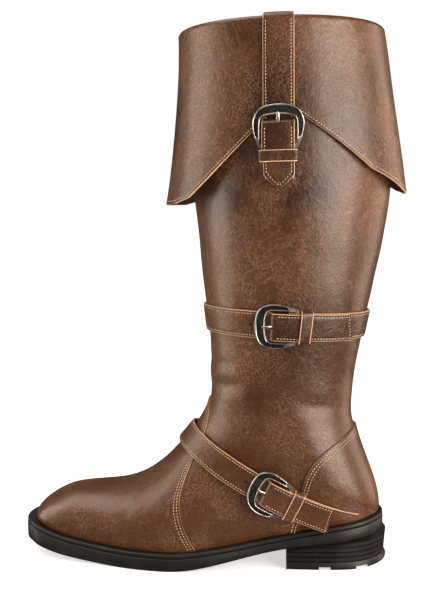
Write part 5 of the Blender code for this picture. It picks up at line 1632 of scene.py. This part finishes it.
base_columns, base_dips = strap_columns(CUFF_STRAP_WIDTH - 0.001)
rows = np.linspace(-0.003, CUFF_TAIL - 0.006, 28)
u = rows[:, None] + 0.0 * base_columns
h = WRAP_GAP + off_shaft(u)
v = base_columns + 0.0 * u
cuff_base = strap_sheet("cuff_strap_base_leather", cuff_place(u, v, h),
                        cuff_place(u, v, h + STRAP_THICKNESS - base_dips))
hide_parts("cuff_strap_base")
make_frame("cuff_buckle_frame", cuff_place, CUFF_LIFT, "cuff_buckle")
make_prong("cuff_buckle_prong", cuff_place, CUFF_LIFT, "cuff_prong")
make_keeper("cuff_strap_keeper", cuff_place, CUFF_LIFT, CUFF_STRAP_WIDTH, "cuff_keeper")

# Sole unit: black moulded rubber in three parts: the welt plate with its plain rim, the outsole with
# its tread and the heel block with grooves round it. Inside lies the insole board.

WELT_THICKNESS = 0.0032
WELT_MARGIN = 0.0065
HEEL_FLARE = 0.0025
BREAST_X = -0.043
GROOVE_PITCH = 0.004
GROOVE_WIDTH = 0.0013
GROOVE_DEPTH = 0.0013
GROOVE_COUNT = 5
FIRST_GROOVE = 0.0065
TREAD_CUT_WIDTH = 0.0095
TREAD_CUT_DEPTH = 0.0025
TREAD_CUTS = (0.031, 0.061)
INSOLE_THICKNESS = 0.0035
END_ROW = len(FEATHER) - 1.0


def rubber_finish():
    """Satin black rubber with a fine moulded grain, dusty grey where it is scuffed."""
    finish = Finish("black_rubber", 0.45)
    place = finish.coordinates()
    grain = finish.noise(place, 900.0, 3.0, 0.6)
    dust = finish.spread(finish.noise(place, 60.0, 5.0, 0.65), 0.45, 0.75)
    finish.set("Base Color", finish.mix(dust * 0.5, (0.0075, 0.0075, 0.0078), (0.022, 0.021, 0.020)))
    finish.set("Roughness", 0.42 + 0.12 * grain + 0.10 * dust)
    finish.set("Normal", finish.bump(grain, 0.00012, 0.6))
    return finish.material


RUBBER = rubber_finish()
INSOLE_BOARD = plain_finish("insole_board", (0.30, 0.20, 0.12), 0.8, 700.0, 0.0003)


def outline(parameters, margin, side):
    """Points at a margin out from the feather line. side is -1 lateral or 1 medial."""
    column = 2 if side > 0 else 1

    def place(p):
        row = feather_curve(p)
        return np.stack([x_at(row[..., 0]), side * row[..., column] * BALL_WIDTH], axis=-1)

    p = np.asarray(parameters, dtype=float)
    step = 0.01
    tangent = place(np.minimum(p + step, END_ROW)) - place(np.maximum(p - step, 0.0))
    tangent[p <= 0.0] = (0.0, side)
    tangent[p >= END_ROW] = (0.0, -side)
    tangent /= np.linalg.norm(tangent, axis=-1, keepdims=True)
    outward = np.stack([-tangent[:, 1], tangent[:, 0]], axis=-1) * side
    return place(p) + outward * np.broadcast_to(margin, p.shape)[..., None]


def loop_at(parameters, margin, z_function, whole=True):
    """Loop round the sole: the lateral side from the first row on, then the medial side back."""
    lateral = outline(parameters, margin, -1)
    medial = outline(parameters, margin, 1)[::-1]
    flat = np.concatenate([lateral, medial[1:-1] if whole else medial[1:]])
    return np.column_stack([flat, z_function(np.clip(flat[:, 0], x_at(1.0), HEEL_BACK_X))])


def stack(name, loops, surface, across=2, relief=None):
    """Solid of loops round the sole. Its last face may be a grid across with a relief of its own."""
    loops = np.array(loops)
    levels, count = loops.shape[:2]
    points = list(loops.reshape(-1, 3))
    faces = quads(grid_numbers(levels, count, wrap_columns=True))
    half = count // 2
    for i in range(half):
        faces.append(tuple(dict.fromkeys((i, i + 1, (2 * half - i - 1) % count, (2 * half - i) % count))))
    start = (levels - 1) * count
    grid = []
    for i in range(half + 1):
        a, b = start + i, start + (2 * half - i) % count
        row = [a]
        for share in np.linspace(0.0, 1.0, across)[1:-1]:
            point = points[a] * (1.0 - share) + points[b] * share
            if relief is not None:
                point = point + [0.0, 0.0, relief(point, share, np.linalg.norm(points[b] - points[a]))]
            row.append(len(points))
            points.append(point)
        grid.append(row + [b])
    faces += [tuple(dict.fromkeys(face)) for face in quads(np.array(grid))]
    return make_piece(name, points, [face for face in faces if len(face) > 2], [surface], sharp=42.0)


sole_rows = np.concatenate([np.linspace(0.0, 3.0, 60)[:-1], np.linspace(3.0, 14.0, 150)[:-1],
                            np.linspace(14.0, END_ROW, 61)])
welt_margins = sole_at(feather_curve(sole_rows)[..., 0], 4) * WELT_MARGIN


def welt_top(x):
    return seat_z(x) - GAP


def outsole_top(x):
    return welt_top(x) - WELT_THICKNESS - GAP


# Section of the welt from its top face round its rim: share of the margin, reach past that, fall
WELT_SECTION = [(0.0, -0.001, 0.0), (0.35, 0.0, 0.0), (1.0, -0.0016, 0.0), (1.0, -0.0010, 0.0001),
                (1.0, -0.0004, 0.0003), (1.0, 0.0, 0.0009), (1.0, 0.0, WELT_THICKNESS - 0.0006),
                (1.0, -0.0006, WELT_THICKNESS)]
welt = stack("welt_rim", [loop_at(sole_rows, share * welt_margins + reach, lambda x: welt_top(x) - fall)
                          for share, reach, fall in WELT_SECTION], RUBBER)
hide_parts("welt")


TREAD_RIM = 0.0070
TREAD_END_X = -0.070
TREAD_PITCH = 0.0105
TREAD_DEPTH = 0.0014
TREAD_SLANT = 0.45
TREAD_COLUMNS = 62
# Outsole's edge: reach past the welt's margin and fall below its top, then reach and rise above
# its bottom
OUTSOLE_TOP = [(-0.0009, 0.0), (-0.0002, 0.0003), (0.0003, 0.0010)]
OUTSOLE_FOOT = [(0.0003, 0.0016), (-0.0001, 0.0007), (-0.0008, 0.0002), (-0.0016, 0.0)]


def tread(point, share, width):
    """Depth of the tread on the outsole's bottom: chevron channels inside a plain rim."""
    x, y = point[0], point[1]
    rim = min(share, 1.0 - share) * width
    inside = float(smooth_step((rim - TREAD_RIM) / 0.0015)) * float(smooth_step((TREAD_END_X - x) / 0.002))
    wave = math.cos(2.0 * math.pi * (x + TREAD_SLANT * abs(y)) / TREAD_PITCH)
    return TREAD_DEPTH * inside * float(smooth_step((wave - 0.25) / 0.3))


outsole_loops = [loop_at(sole_rows, welt_margins + reach, lambda x: outsole_top(x) - fall)
                 for reach, fall in OUTSOLE_TOP]
outsole_loops += [loop_at(sole_rows, welt_margins + reach, lambda x: bottom_z(x) + rise)
                  for reach, rise in OUTSOLE_FOOT]
outsole = stack("outsole_unit", outsole_loops, RUBBER, TREAD_COLUMNS, tread)
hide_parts("outsole")

inset = UPPER_WALL + 0.0030
toe_inset = 0.0055 * np.exp(-sole_rows / 2.5)
insole = stack("insole_sock", [
    loop_at(sole_rows, -inset - toe_inset, lambda x: welt_top(x) + GAP),
    loop_at(sole_rows, -inset - toe_inset, lambda x: welt_top(x) + GAP + INSOLE_THICKNESS - 0.0008),
    loop_at(sole_rows, -inset - toe_inset - 0.0008, lambda x: welt_top(x) + GAP + INSOLE_THICKNESS),
], INSOLE_BOARD)
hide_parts("insole")

# Heel block: grooves run round its back and sides, and two cuts cross its bottom
dense = np.linspace(4.0, END_ROW, 800)
breast_row = np.interp(BREAST_X, x_at(feather_curve(dense)[:, 0]), dense)
heel_rows = breast_row + (END_ROW - breast_row) * np.sin(np.linspace(0.0, 1.0, 90) * math.pi / 2)
heel_base = sole_at(feather_curve(heel_rows)[..., 0], 4) * WELT_MARGIN
behind = np.clip((x_at(feather_curve(heel_rows)[:, 0]) - BREAST_X) / (HEEL_BACK_X - BREAST_X), 0.0, 1.0)


def heel_level(share, inset, z_function):
    margin = heel_base + 0.0003 + HEEL_FLARE * (1.0 - share) * (0.4 + 0.6 * behind) - inset
    loop = loop_at(heel_rows, margin, z_function, whole=False)
    loop[0, 0] = BREAST_X
    loop[-1, 0] = BREAST_X
    return loop


def heel_top(x):
    return bottom_z(x) - GAP


heel_loops = [heel_level(1.0, 0.0012, heel_top), heel_level(0.96, 0.0, lambda x: heel_top(x) - 0.0008)]
for k in reversed(range(GROOVE_COUNT)):
    centre = FIRST_GROOVE + k * GROOVE_PITCH
    for rise, depth in ((0.5, 0.0), (0.40, 0.75), (0.2, 1.0), (-0.2, 1.0), (-0.40, 0.75), (-0.5, 0.0)):
        z = centre + rise * GROOVE_WIDTH
        if z < HEEL_HEIGHT - 0.0015:
            heel_loops.append(heel_level(1.0 - z / HEEL_HEIGHT, depth * GROOVE_DEPTH,
                                         lambda x, z=z: np.minimum(z, heel_top(x) - 0.0010)))
heel_loops += [heel_level(0.08, 0.0, lambda x: np.full_like(x, 0.0016)),
               heel_level(0.03, 0.0005, lambda x: np.full_like(x, 0.0005)),
               heel_level(0.0, 0.0014, lambda x: np.zeros_like(x))]
heel = stack("heel_block", heel_loops, RUBBER)
for behind_breast in TREAD_CUTS:
    cutter_mesh = bpy.data.meshes.new("tread_cut")
    work = bmesh.new()
    middle = Matrix.Translation((BREAST_X + behind_breast, 0.0, 0.5 * TREAD_CUT_DEPTH - 0.005))
    size = Matrix.Diagonal((TREAD_CUT_WIDTH, 0.14, TREAD_CUT_DEPTH + 0.010, 1.0))
    bmesh.ops.create_cube(work, size=1.0, matrix=middle @ size)
    work.to_mesh(cutter_mesh)
    work.free()
    cutter = bpy.data.objects.new("tread_cut", cutter_mesh)
    scene.collection.objects.link(cutter)
    cut = heel.modifiers.new("tread_cut", "BOOLEAN")
    cut.operation = "DIFFERENCE"
    cut.solver = "EXACT"
    cut.object = cutter
    bake(heel)
    bpy.data.objects.remove(cutter)
heel.data.shade_smooth()
heel.data.set_sharp_from_angle(angle=math.radians(40.0))
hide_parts("heel")
